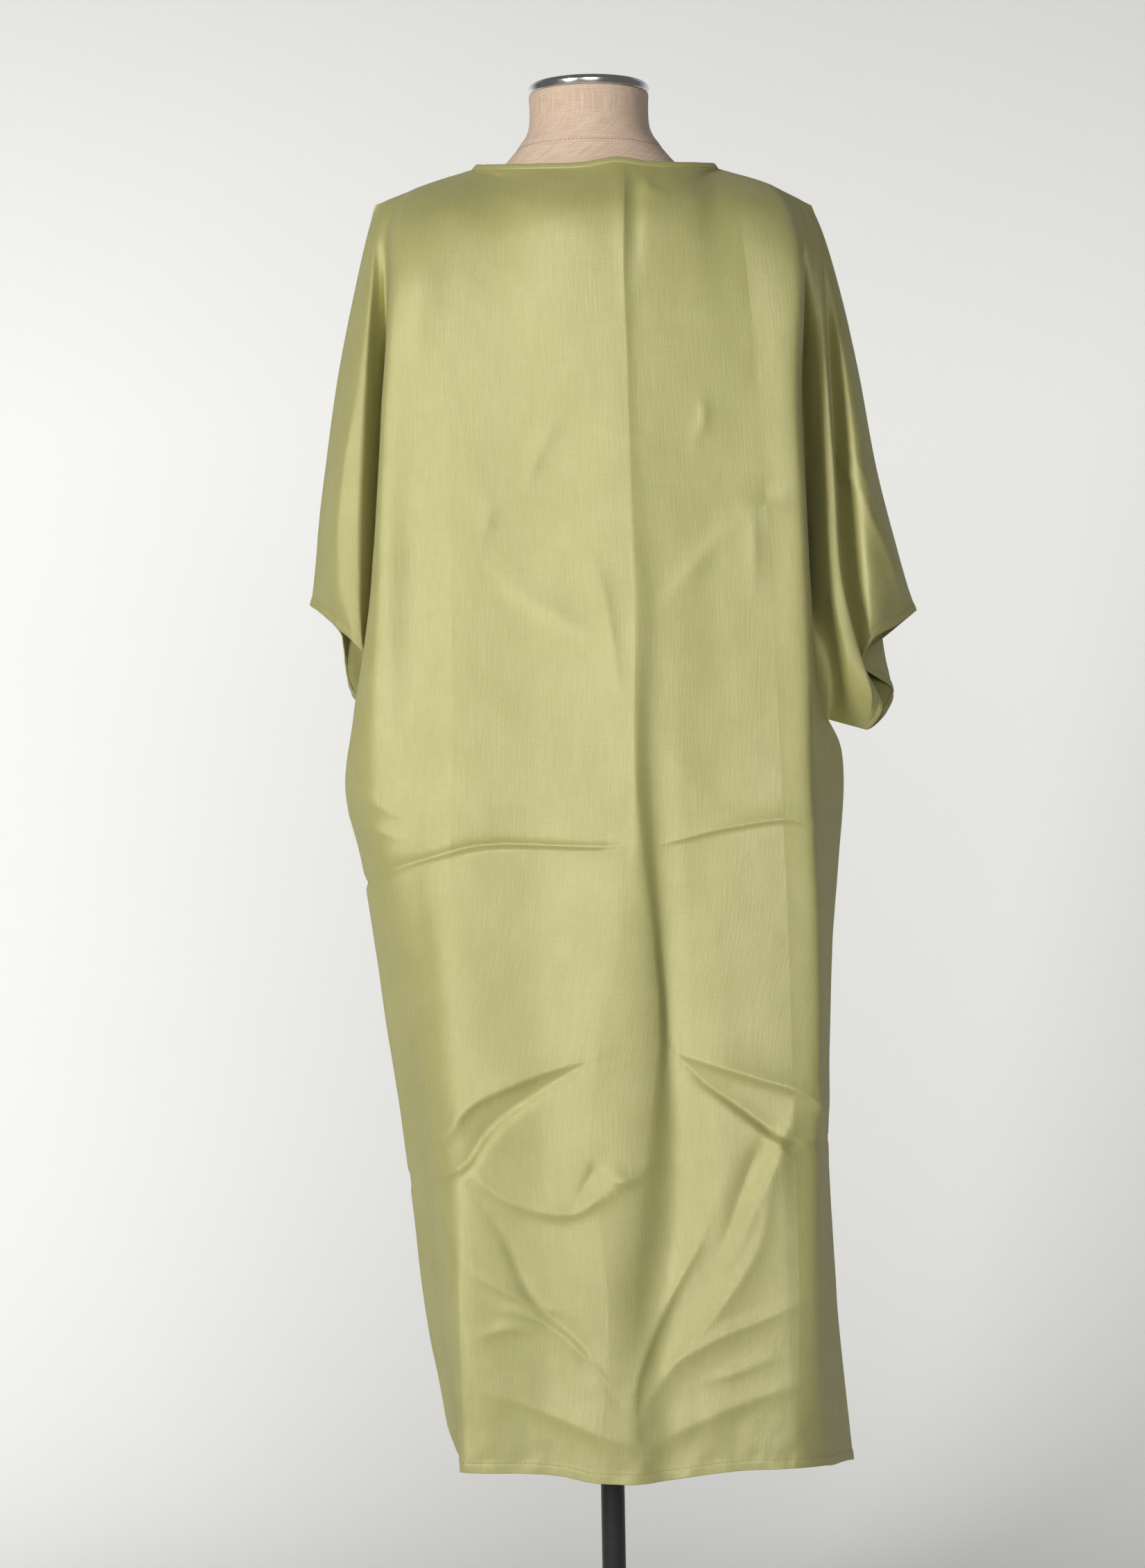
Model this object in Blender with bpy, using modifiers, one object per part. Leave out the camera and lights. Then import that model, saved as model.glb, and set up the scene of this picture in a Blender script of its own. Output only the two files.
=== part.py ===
"""Midi dress with short batwing sleeves on a limbless dress form and a pole stand.

Metres, +Z up, the origin on the floor under the pole. The back of the dress faces -Y.
Every panel is a thin wall lofted through its fold lines, and each fold line is one row of a table.
"""

import math

import bpy
import numpy as np

CM = 0.01
WALL = 0.12  # cloth wall, in centimetres like every size down to the stand
LEAST_MITRE = 0.55  # keeps the wall from reaching too far in at a sharp fold
# From a panel's outer point to its inner one where the side seam turns into the underarm seam:
# into the body, off the seam, up.
ARMPIT_STEP = (0.04, 0.009, 0.07)
SEAM_GAP = 0.03  # between two pieces that are sewn together
BINDING_WIDTH = 0.55
BINDING_WALL = 0.2
UNDERARM_HEIGHT = 98.5  # where the body rows below the sleeves begin
CURVE_STEPS = 10
DENSE_POINTS = 300
MIRROR_DEPTH = np.array([1.0, -1.0, 1.0])
ROW_CROWDING = 0.3  # how much closer the rows are at the shoulder and at the underarm
UPPER_STEPS = np.arange(19) / 18
UPPER_FRACTIONS = UPPER_STEPS - ROW_CROWDING * np.sin(2 * np.pi * UPPER_STEPS) / (2 * np.pi)
LOWER_FRACTIONS = np.arange(17) / 16

# Shoulder seams, from the shoulder point up to the neck corner: across, depth, height.
SHOULDER_SEAM = {
    "left": ((-20.0, 0.0, 146.1), (-15.4, 0.0, 147.8), (-10.8, 0.0, 149.3)),
    "right": ((20.5, 0.0, 145.4), (16.2, 0.0, 147.5), (11.8, 0.0, 149.0)),
}
# Underarm seams, from the body out to the sleeve hem: across, depth, height.
UNDERARM_SEAM = {
    "left": ((-20.2, -0.8, 99.3), (-21.1, -0.4, 99.3), (-21.9, 0.3, 99.6)),
    "right": ((20.9, -4.3, 97.6), (22.5, -5.0, 97.1), (24.2, -5.2, 96.6)),
}
# The neck edge of the panels, an oval: how far it reaches and how high it is at its middle.
NECK_MIDDLE = 0.5
NECK_HALF_WIDTH = 11.3
NECK = {
    "back": {"depth": -7.6, "height": 147.9, "rise": 0.5},
    "front": {"depth": 8.2, "height": 144.9, "rise": 0.0},
}
RISE_PLACE = 2.4  # where the centre fold lifts the neck edge, and how wide the lift is
RISE_WIDTH = 2.2

# Fold lines of the sleeves. start: place on the shoulder seam, 0 at the shoulder point and
# 1 at the neck. across and depth are read at SLEEVE_HEIGHTS. via and end: across, depth, height.
SLEEVE_HEIGHTS = (143, 138, 130, 120, 110)
BACK_LEFT_SLEEVE = {
    "overarm": {
        "start": 0.0,
        "across": (-20.8, -22.0, -23.7, -25.2, -26.4),
        "depth": (0.0, 0.0, 0.0, 0.0, 0.0),
        "end": (-26.6, 0.0, 109.1),
    },
    "crest": {
        "start": 0.12,
        "across": (-20.4, -21.1, -22.2, -23.2, -23.9),
        "depth": (-2.0, -3.5, -5.2, -6.4, -6.4),
        "end": (-23.6, -5.4, 106.6),
    },
    "inner": {
        "start": 0.2,
        "across": (-19.8, -20.2, -20.8, -21.4, -21.8),
        "depth": (-3.0, -4.7, -6.0, -6.9, -7.1),
        "end": (-21.4, -6.8, 104.3),
    },
    "wall": {
        "start": 0.27,
        "across": (-19.3, -19.4, -19.7, -20.1, -20.5),
        "depth": (-3.5, -5.2, -5.6, -5.6, -5.2),
        "via": ((-21.15, -4.0, 103.5),),
        "end": UNDERARM_SEAM["left"][2],
    },
    "trough": {
        "start": 0.34,
        "across": (-18.8, -18.9, -19.0, -19.2, -19.5),
        "depth": (-3.9, -5.4, -5.0, -4.2, -3.2),
        "via": ((-19.65, -2.0, 104.0),),
        "end": UNDERARM_SEAM["left"][0],
    },
}
BACK_RIGHT_SLEEVE = {
    "side_edge": {
        "start": 0.36,
        "across": (19.1, 19.2, 19.0, 19.2, 19.3),
        "depth": (-4.6, -5.6, -4.6, -4.0, -4.0),
        "via": ((19.7, -6.0, 104.0),),
        "end": (20.3, -6.4, 98.2),
    },
    "trough": {
        "start": 0.3,
        "across": (19.5, 19.8, 19.9, 20.1, 20.2),
        "depth": (-3.7, -5.1, -5.6, -6.1, -6.6),
        "via": ((20.8, -5.9, 104.0), (21.2, -5.4, 100.6)),
        "end": UNDERARM_SEAM["right"][0],
    },
    "lobe": {
        "start": 0.24,
        "across": (19.9, 20.3, 20.5, 20.8, 21.2),
        "depth": (-3.2, -5.0, -6.7, -7.9, -8.7),
        "via": ((22.4, -8.8, 103.0),),
        "end": UNDERARM_SEAM["right"][1],
    },
    "pouch": {
        "start": 0.19,
        "across": (20.2, 20.8, 21.0, 21.4, 21.9),
        "depth": (-2.8, -4.8, -6.9, -8.1, -8.8),
        "via": ((23.4, -8.9, 103.5), (24.5, -8.2, 99.8)),
        "end": UNDERARM_SEAM["right"][2],
    },
    "lobe_edge": {
        "start": 0.14,
        "across": (20.6, 21.1, 21.3, 21.7, 22.2),
        "depth": (-2.3, -4.2, -6.3, -7.4, -7.9),
        "via": ((23.4, -7.9, 103.6), (24.7, -7.6, 100.3)),
        "end": (25.6, -6.4, 98.6),
    },
    "second_trough": {
        "start": 0.1,
        "across": (20.8, 21.4, 21.9, 22.4, 23.0),
        "depth": (-1.6, -2.9, -3.8, -4.4, -4.8),
        "end": (24.0, -4.8, 102.4),
    },
    "outer_crest": {
        "start": 0.06,
        "across": (21.0, 22.0, 23.1, 24.2, 25.0),
        "depth": (-1.1, -2.5, -4.4, -5.7, -6.3),
        "end": (24.9, -6.0, 104.7),
    },
    "outer_side": {
        "start": 0.03,
        "across": (21.3, 22.6, 24.1, 25.5, 27.2),
        "depth": (-0.7, -1.5, -2.8, -3.7, -3.8),
        "end": (27.4, -3.4, 106.2),
    },
    "overarm": {
        "start": 0.0,
        "across": (21.4, 22.8, 24.5, 26.2, 28.7),
        "depth": (0.0, 0.0, 0.0, 0.0, 0.0),
        "end": (29.5, 0.0, 107.6),
    },
}
FRONT_LEFT_SLEEVE = {
    "overarm": BACK_LEFT_SLEEVE["overarm"],
    "crest": {
        "start": 0.12,
        "across": (-20.4, -21.2, -22.3, -23.3, -24.0),
        "depth": (2.0, 3.6, 5.3, 6.4, 6.0),
        "end": (-24.0, 4.6, 106.4),
    },
    "lower_loop": {
        "start": 0.2,
        "across": (-19.8, -20.3, -21.0, -21.9, -22.8),
        "depth": (3.0, 4.8, 6.4, 7.4, 7.2),
        "end": (-23.5, 4.0, 101.8),
    },
    "wall": {
        "start": 0.27,
        "across": (-19.3, -19.4, -19.8, -20.3, -20.8),
        "depth": (3.5, 5.2, 6.4, 6.8, 6.0),
        "via": ((-21.6, 4.0, 103.5),),
        "end": UNDERARM_SEAM["left"][2],
    },
    "trough": {
        "start": 0.34,
        "across": (-18.8, -18.9, -19.0, -19.2, -19.5),
        "depth": (3.9, 5.4, 5.2, 4.4, 3.2),
        "via": ((-19.8, 1.6, 104.0),),
        "end": UNDERARM_SEAM["left"][0],
    },
}
FRONT_RIGHT_SLEEVE = {
    "trough": {
        "start": 0.3,
        "across": (19.4, 19.4, 19.3, 19.4, 19.8),
        "depth": (3.8, 5.4, 5.2, 4.0, 1.8),
        "via": ((20.3, -1.0, 104.0),),
        "end": UNDERARM_SEAM["right"][0],
    },
    "wall": {
        "start": 0.19,
        "across": (20.2, 20.6, 21.0, 21.6, 22.6),
        "depth": (2.8, 5.0, 6.8, 6.8, 4.8),
        "via": ((23.6, 1.8, 103.0),),
        "end": UNDERARM_SEAM["right"][2],
    },
    "fold_crest": {
        "start": 0.12,
        "across": (20.8, 21.8, 23.2, 24.7, 26.1),
        "depth": (2.2, 4.2, 5.8, 5.8, 3.8),
        "via": ((26.6, 2.0, 105.0),),
        "end": (27.3, 0.2, 100.2),
    },
    "fold_valley": {
        "start": 0.06,
        "across": (21.1, 22.1, 23.1, 23.9, 24.4),
        "depth": (1.2, 2.0, 2.5, 1.9, 0.0),
        "end": (23.9, -3.0, 102.8),
    },
    "outer_side": {
        "start": 0.03,
        "across": (21.3, 22.6, 24.0, 25.5, 27.0),
        "depth": (0.7, 1.5, 2.6, 2.8, 2.0),
        "end": (26.8, 0.5, 105.4),
    },
    "overarm": BACK_RIGHT_SLEEVE["overarm"],
}

# Fold lines of the body. start as above, or neck: how far across on the neck edge. across and
# depth are read at BODY_HEIGHTS. hem: across, depth, height.
BODY_HEIGHTS = (144, 138, 128, 118, 108, 98.5, 92, 85, 78, 70, 60, 45)
BACK_BODY = {
    "left_edge": {
        "start": 0.42,
        "across": (-17.9, -18.2, -19.0, -19.7, -20.6, -22.3, -23.3, -21.9, -20.9, -19.9, -18.5, -17.0),
        "depth": (-5.2, -8.9, -10.0, -10.4, -10.2, -8.0, -5.8, -5.4, -5.2, -5.0, -4.8, -4.2),
        "via": ((-15.6, -3.9, 36.5), (-14.8, -3.8, 32.6)),
        "hem": (-13.5, -3.6, 29.8),
    },
    "left_ridge": {
        "start": 1.0,
        "top": ((-11.2, -3.3, 148.0),),
        "across": (-12.2, -13.0, -14.0, -14.4, -14.8, -15.2, -15.2, -14.6, -13.5, -13.2, -13.1, -13.4),
        "depth": (-8.5, -10.9, -12.2, -12.6, -12.8, -12.9, -12.9, -13.1, -13.3, -13.3, -13.2, -13.0),
        "hem": (-13.2, -12.2, 30.9),
    },
    "left_back": {
        "neck": -5.6,
        "across": (-5.8, -5.8, -5.8, -5.8, -5.8, -5.7, -5.6, -5.6, -5.6, -5.6, -5.6, -5.6),
        "depth": (-10.2, -11.8, -12.6, -12.9, -13.1, -13.3, -13.4, -13.6, -13.9, -14.0, -13.8, -13.5),
        "hem": (-5.4, -12.9, 30.7),
    },
    "centre_ridge": {
        "neck": 1.9,
        "across": (1.8, 1.8, 2.1, 2.4, 2.8, 2.5, 2.3, 2.0, 1.4, -0.5, -1.8, -1.6),
        "depth": (-10.7, -12.2, -13.2, -13.7, -14.0, -14.2, -14.4, -14.8, -15.3, -15.5, -14.5, -13.7),
        "hem": (-1.2, -12.9, 30.0),
    },
    "centre_edge": {
        "neck": 2.9,
        "across": (2.8, 2.7, 2.9, 3.0, 3.6, 3.0, 2.95, 3.6, 4.2, 4.6, 4.3, 3.6),
        "depth": (-10.8, -12.4, -13.4, -13.9, -14.3, -14.3, -14.4, -14.6, -14.8, -15.0, -14.5, -13.8),
        "hem": (3.2, -13.0, 29.8),
    },
    "centre_valley": {
        "neck": 3.6,
        "across": (3.5, 3.4, 3.6, 3.8, 4.2, 3.8, 3.7, 4.4, 5.0, 5.5, 5.1, 4.6),
        "depth": (-10.2, -11.6, -12.3, -12.5, -12.6, -12.6, -12.6, -12.6, -12.7, -12.9, -13.1, -13.0),
        "hem": (4.4, -12.6, 29.9),
    },
    "right_ramp": {
        "neck": 4.8,
        "across": (4.9, 4.8, 5.0, 5.2, 5.4, 5.1, 5.0, 5.4, 6.0, 6.9, 7.0, 6.4),
        "depth": (-10.2, -11.7, -12.6, -12.9, -13.0, -13.1, -13.2, -13.3, -13.4, -13.6, -13.6, -13.3),
        "hem": (6.2, -12.7, 30.2),
    },
    "right_back": {
        "neck": 8.0,
        "across": (9.2, 9.4, 9.8, 10.0, 10.2, 10.3, 10.4, 10.5, 10.6, 10.8, 10.8, 10.8),
        "depth": (-9.2, -11.0, -12.2, -12.5, -12.7, -12.8, -12.8, -12.8, -12.9, -13.0, -13.0, -12.8),
        "hem": (11.0, -12.2, 30.6),
    },
    "right_ridge": {
        "start": 1.0,
        "top": ((12.2, -3.3, 147.7),),
        "across": (13.2, 13.8, 14.2, 14.4, 14.7, 14.9, 15.0, 15.0, 15.1, 15.3, 15.5, 15.8),
        "depth": (-8.2, -10.4, -11.4, -11.7, -11.8, -11.9, -11.8, -11.7, -11.6, -11.5, -11.4, -11.3),
        "hem": (16.2, -10.8, 30.6),
    },
    "right_edge": {
        "start": 0.44,
        "across": (18.3, 19.0, 18.5, 18.7, 19.0, 19.2, 19.3, 19.6, 19.8, 19.7, 19.3, 19.2),
        "depth": (-5.4, -8.8, -9.8, -10.0, -9.8, -9.5, -9.3, -9.1, -8.8, -8.4, -8.0, -7.8),
        "hem": (19.7, -7.2, 30.1),
    },
}
FRONT_BODY = {
    "left_edge": {
        "start": 0.42,
        "across": (-17.9, -18.2, -18.9, -19.6, -20.2, -21.0, -21.3, -20.7, -19.8, -18.8, -17.4, -15.2),
        "depth": (5.2, 9.0, 11.0, 11.6, 11.2, 9.6, 8.4, 7.8, 7.4, 7.2, 7.0, 6.8),
        "hem": (-12.9, 6.6, 29.3),
    },
    "left_ridge": {
        "start": 1.0,
        "top": ((-11.3, 2.9, 147.7),),
        "across": (-12.2, -13.0, -13.8, -14.2, -14.4, -14.5, -14.4, -14.1, -13.6, -13.0, -12.4, -11.4),
        "depth": (8.0, 10.9, 13.8, 14.6, 14.6, 14.4, 14.4, 14.4, 14.2, 14.0, 13.6, 13.0),
        "hem": (-10.6, 12.4, 29.2),
    },
    "left_front": {
        "neck": -6.4,
        "across": (-6.8, -6.8, -7.0, -7.0, -6.8, -6.6, -6.4, -6.2, -6.0, -5.8, -5.4, -5.0),
        "depth": (9.0, 12.0, 15.2, 15.9, 15.8, 15.6, 15.5, 15.6, 15.6, 15.4, 15.2, 14.8),
        "hem": (-4.6, 14.2, 29.0),
    },
    "centre_front": {
        "neck": 0.6,
        "across": (0.6, 0.6, 0.6, 0.6, 0.6, 0.6, 0.8, 0.9, 1.0, 1.2, 1.6, 2.0),
        "depth": (8.8, 11.4, 14.4, 14.9, 14.7, 14.4, 14.3, 14.3, 14.3, 14.4, 14.4, 14.2),
        "hem": (2.2, 13.8, 28.8),
    },
    "right_front": {
        "neck": 7.4,
        "across": (7.8, 7.8, 8.0, 8.0, 7.9, 7.8, 7.8, 7.9, 8.1, 8.4, 8.8, 9.4),
        "depth": (9.0, 12.0, 15.2, 15.9, 15.8, 15.5, 15.4, 15.3, 15.2, 15.2, 15.0, 14.4),
        "hem": (9.8, 13.8, 28.8),
    },
    "right_ridge": {
        "start": 1.0,
        "top": ((12.2, 2.9, 147.4),),
        "across": (13.2, 13.8, 14.2, 14.4, 14.6, 14.8, 14.8, 14.8, 14.8, 14.8, 14.9, 15.4),
        "depth": (7.8, 10.7, 13.6, 14.4, 14.4, 14.2, 14.0, 13.8, 13.6, 13.2, 12.8, 12.0),
        "hem": (16.2, 11.0, 29.0),
    },
    "right_edge": {
        "start": 0.44,
        "across": (18.3, 18.9, 18.7, 18.9, 19.2, 19.7, 20.0, 20.1, 20.0, 19.7, 19.2, 19.3),
        "depth": (5.4, 8.9, 11.0, 11.5, 11.0, 9.8, 8.8, 8.2, 7.9, 7.6, 7.2, 6.4),
        "hem": (20.2, 5.4, 29.2),
    },
}
# Below the sleeves: the side seams, and the fold between the right back edge and its seam.
SIDE_HEIGHTS = (95.5, 92, 85, 78, 70, 60, 45)
SIDE_FOLDS = {
    "left_side_seam": {
        "across": (-21.3, -22.2, -21.3, -20.2, -19.0, -17.7, -15.6),
        "depth": (0.2, 0.8, 1.0, 1.0, 1.0, 1.2, 1.4),
        "hem": (-13.3, 1.5, 29.3),
    },
    "right_side_edge": {
        "across": (20.8, 21.1, 21.0, 20.9, 20.6, 20.2, 20.5),
        "depth": (-6.2, -6.0, -5.4, -5.0, -4.6, -4.2, -4.0),
        "hem": (21.2, -3.6, 29.6),
    },
    "right_side_seam": {
        "across": (21.9, 22.3, 21.8, 21.15, 20.4, 20.4, 20.9),
        "depth": (-3.9, -3.0, -1.8, -1.1, -0.7, -0.4, -0.2),
        "hem": (22.3, 0.0, 29.1),
    },
}
# Spaces between neighbouring fold lines, from the left overarm seam to the right one.
BACK_STEPS = (3, 2, 2, 2, 4, 4, 4, 4, 1, 2, 2, 2, 3, 4, 3, 2, 2, 2, 2, 2, 2, 2, 3)
FRONT_STEPS = (3, 2, 2, 2, 4, 3, 3, 3, 3, 3, 3, 4, 4, 3, 2, 2, 3)

PANELS = {
    "back": {
        "left_sleeve": BACK_LEFT_SLEEVE,
        "body": BACK_BODY,
        "right_sleeve": BACK_RIGHT_SLEEVE,
        "steps": BACK_STEPS,
        "underarm": {"left": (3, 4), "right": (18, 16)},
    },
    "front": {
        "left_sleeve": FRONT_LEFT_SLEEVE,
        "body": FRONT_BODY,
        "right_sleeve": FRONT_RIGHT_SLEEVE,
        "steps": FRONT_STEPS,
        "underarm": {"left": (3, 4), "right": (13, 12)},
    },
}

# The dress form, from the bottom up: height, half width, reach to the back and to the front,
# and how square its section is, where 2 is an oval.
FORM_SECTIONS = (
    (78.0, 15.4, 9.6, 9.2, 2.3),
    (78.8, 16.3, 10.4, 9.9, 2.3),
    (84.0, 17.2, 11.2, 10.6, 2.3),
    (90.0, 17.6, 11.4, 10.8, 2.3),
    (97.0, 16.2, 9.8, 10.0, 2.3),
    (104.0, 13.4, 8.4, 9.2, 2.3),
    (109.0, 12.2, 8.0, 9.0, 2.3),
    (116.0, 13.2, 8.8, 10.2, 2.3),
    (122.0, 14.6, 9.6, 12.0, 2.3),
    (127.0, 15.8, 10.2, 12.8, 2.3),
    (132.0, 16.6, 10.4, 11.8, 2.3),
    (138.0, 17.4, 9.8, 9.6, 2.2),
    (142.0, 18.2, 8.2, 7.8, 2.0),
    (144.4, 17.6, 6.9, 6.6, 1.8),
    (146.0, 15.4, 5.8, 5.3, 1.6),
    (147.6, 11.4, 5.5, 4.9, 1.6),
    (149.0, 8.6, 5.5, 5.0, 1.7),
    (150.6, 7.0, 5.6, 5.4, 1.9),
    (152.6, 5.7, 5.5, 5.5, 2.0),
    (155.9, 5.5, 5.5, 5.5, 2.0),
)
FORM_SEGMENTS = 36

# Stand and neck cap, in centimetres.
POLE_RADIUS = 1.1
BASE_RADIUS = 18.0
BASE_THICKNESS = 1.2
COLLAR_RADIUS = 2.4
COLLAR_HEIGHT = 3.2
CAP_RADIUS = 5.66
CAP_HEIGHT = 0.95
TURN_STEPS = 40


def spline_columns(lines, steps):
    """Columns through an array [line, row, xyz]. Its first and last lines only steer the ends."""
    columns = []
    for index, count in enumerate(steps):
        a, b, c, d = lines[index : index + 4]
        ab = np.sqrt(np.linalg.norm(b - a, axis=1, keepdims=True)) + 1e-6
        bc = np.sqrt(np.linalg.norm(c - b, axis=1, keepdims=True)) + 1e-6
        cd = np.sqrt(np.linalg.norm(d - c, axis=1, keepdims=True)) + 1e-6
        leave = bc * ((b - a) / ab - (c - a) / (ab + bc) + (c - b) / bc)
        reach = bc * ((c - b) / bc - (d - b) / (bc + cd) + (d - c) / cd)
        for t in np.arange(count) / count:
            columns.append(
                (2 * t**3 - 3 * t**2 + 1) * b
                + (t**3 - 2 * t**2 + t) * leave
                + (3 * t**2 - 2 * t**3) * c
                + (t**3 - t**2) * reach
            )
    columns.append(lines[-2])
    return np.stack(columns)


def curve_through(points, fractions, over_shoulder=False):
    """Points at the given fractions of the length of a smooth curve through a few points."""
    points = np.asarray(points, float)
    lead = points[1] * MIRROR_DEPTH if over_shoulder else 2 * points[0] - points[1]
    tail = 2 * points[-1] - points[-2]
    steered = np.vstack([lead, points, tail])[:, None, :]
    dense = spline_columns(steered, [CURVE_STEPS] * (len(points) - 1))[:, 0, :]
    length = np.concatenate([[0.0], np.cumsum(np.linalg.norm(np.diff(dense, axis=0), axis=1))])
    wanted = np.asarray(fractions) * length[-1]
    return np.stack([np.interp(wanted, length, dense[:, axis]) for axis in range(3)], axis=1)


def neck_angle(across):
    """The oval's angle where it is this far across: 0 at the right corner, pi at the left one."""
    return math.acos((across - NECK_MIDDLE) / NECK_HALF_WIDTH)


def neck_point(angle, panel):
    across = NECK_MIDDLE + NECK_HALF_WIDTH * math.cos(angle)
    swing = math.sin(angle)
    corner = SHOULDER_SEAM["right" if across > NECK_MIDDLE else "left"][-1]
    lift = NECK[panel]["rise"] * math.exp(-(((across - RISE_PLACE) / RISE_WIDTH) ** 2))
    height = corner[2] + (NECK[panel]["height"] - corner[2]) * swing + lift
    return (across, NECK[panel]["depth"] * swing, height)


def fold_rows(fold, heights):
    """The points of a fold line below its top edge."""
    rows = list(fold.get("top", ()))
    rows += [tuple(row) for row in zip(fold["across"], fold["depth"], heights)]
    rows += list(fold.get("via", ()))
    rows.append(fold["end"] if "end" in fold else fold["hem"])
    return rows


def top_point(fold, side, panel):
    if "neck" in fold:
        return neck_point(neck_angle(fold["neck"]), panel)
    return tuple(curve_through(SHOULDER_SEAM[side], [fold["start"]])[0])


def sleeve_line(fold, side, panel):
    points = [top_point(fold, side, panel)] + fold_rows(fold, SLEEVE_HEIGHTS)
    return curve_through(points, UPPER_FRACTIONS, over_shoulder=fold["start"] > 0)


def body_lines(name, fold, panel):
    """Rows of a body fold line above the underarm, and rows below it."""
    points = [top_point(fold, name.split("_")[0], panel)] + fold_rows(fold, BODY_HEIGHTS)
    dense = curve_through(points, np.linspace(0, 1, DENSE_POINTS), over_shoulder=fold.get("start", 1.0) < 1)
    cut = int(np.argmax(dense[:, 2] <= UNDERARM_HEIGHT))
    return curve_through(dense[: cut + 1], UPPER_FRACTIONS), curve_through(dense[cut:], LOWER_FRACTIONS)


def side_line(name, top):
    return curve_through([top] + fold_rows(SIDE_FOLDS[name], SIDE_HEIGHTS), LOWER_FRACTIONS)


def fold_lines(panel):
    """The panel's fold lines above the underarm, sleeves included, and those of the body below it."""
    folds = PANELS[panel]
    upper = [sleeve_line(fold, "left", panel) for fold in folds["left_sleeve"].values()]
    lower = [side_line("left_side_seam", UNDERARM_SEAM["left"][0])]
    for name, fold in folds["body"].items():
        above, below = body_lines(name, fold, panel)
        upper.append(above)
        lower.append(below)
    upper += [sleeve_line(fold, "right", panel) for fold in folds["right_sleeve"].values()]
    if "side_edge" in folds["right_sleeve"]:
        lower.append(side_line("right_side_edge", folds["right_sleeve"]["side_edge"]["end"]))
    lower.append(side_line("right_side_seam", UNDERARM_SEAM["right"][0]))
    return upper, lower


def spread(places, steps):
    """Places of the columns between lines whose own places are given."""
    inner = [
        start + (stop - start) * step / count
        for start, stop, count in zip(places, places[1:], steps)
        for step in range(count)
    ]
    return inner + [places[-1]]


def set_edges(columns, panel):
    """Puts the top row on the shoulder seams and neck edge, and the underarm rows on their seams."""
    folds = PANELS[panel]
    steps = folds["steps"]
    starts = [fold.get("start") for group in ("left_sleeve", "body", "right_sleeve")
              for fold in folds[group].values()]
    ridges = [index for index, start in enumerate(starts) if start == 1.0]
    neck = [column_of(steps, index) for index in ridges]
    left = curve_through(SHOULDER_SEAM["left"], spread(starts[: ridges[0] + 1], steps))
    right = curve_through(SHOULDER_SEAM["right"], spread(starts[ridges[1] :], steps[ridges[1] :]))
    across = [fold["neck"] for fold in folds["body"].values() if "neck" in fold]
    angles = [math.pi] + [neck_angle(place) for place in across] + [0.0]
    edge = [neck_point(angle, panel) for angle in spread(angles, steps[ridges[0] : ridges[1]])]
    columns[neck[0] : neck[1] + 1, 0] = edge
    columns[: neck[0] + 1, 0] = left
    columns[neck[1] :, 0] = right
    underarm = folds["underarm"]
    for side, (outer, inner) in underarm.items():
        first, last = sorted((column_of(steps, outer), column_of(steps, inner)))
        seam = curve_through(UNDERARM_SEAM[side], np.linspace(0, 1, last - first + 1))
        columns[first : last + 1, -1] = seam if outer > inner else seam[::-1]
    return neck


def column_of(steps, line):
    return sum(steps[:line])


def panel_grids(panel, lines):
    """Grids [column, row, xyz] of one panel above and below the underarm."""
    other = "front" if panel == "back" else "back"
    steps = PANELS[panel]["steps"]
    upper, lower = lines[panel]
    above = spline_columns(np.stack([lines[other][0][1]] + upper + [lines[other][0][-2]]), steps)
    neck = set_edges(above, panel)
    first = PANELS[panel]["underarm"]["left"][1]
    body_steps = steps[first : first + len(lower) - 1]
    below = spline_columns(np.stack([lines[other][1][1]] + lower + [lines[other][1][-2]]), body_steps)
    start = column_of(steps, first)
    below[:, 0] = above[start : start + len(below), -1]
    return {"above": above, "below": below, "start": start, "neck": neck}


def seam_rows(grids, side):
    """Vertex numbers along one side's seams: neck to sleeve tip, then sleeve hem to dress hem."""
    above, below, ids = grids["above"], grids["below"], grids["ids"]
    columns, rows = above.shape[:2]
    if side == "left":
        shoulder = [ids[(column, 0)] for column in range(grids["neck"][0], 0, -1)]
        overarm = [ids[(0, row)] for row in range(rows)]
        edge = grids["edges"]["left"]
        underarm = [ids[(column, rows - 1)] for column in range(grids["underarm"]["left"], edge)]
    else:
        shoulder = [ids[(column, 0)] for column in range(grids["neck"][1], columns - 1)]
        overarm = [ids[(columns - 1, row)] for row in range(rows)]
        edge = grids["edges"]["right"]
        underarm = [ids[(column, rows - 1)] for column in range(grids["underarm"]["right"], edge, -1)]
    side_seam = [ids[(edge, rows - 1 + row)] for row in range(below.shape[1])]
    return shoulder + overarm, underarm + side_seam


def number_points(grids):
    """One number for each point of the panel, and its faces as rows of four numbers."""
    above, below, start = grids["above"], grids["below"], grids["start"]
    columns, rows = above.shape[:2]
    ids, points = {}, []
    for column in range(columns):
        for row in range(rows):
            ids[(column, row)] = len(points)
            points.append(above[column, row])
    for column in range(len(below)):
        for row in range(1, below.shape[1]):
            ids[(start + column, rows - 1 + row)] = len(points)
            points.append(below[column, row])
    faces = []
    for column in range(columns - 1):
        for row in range(rows - 1 + below.shape[1] - 1):
            corners = [(column, row), (column, row + 1), (column + 1, row + 1), (column + 1, row)]
            if all(corner in ids for corner in corners):
                faces.append([ids[corner] for corner in corners])
    grids["ids"] = ids
    return np.array(points), np.array(faces)


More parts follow.
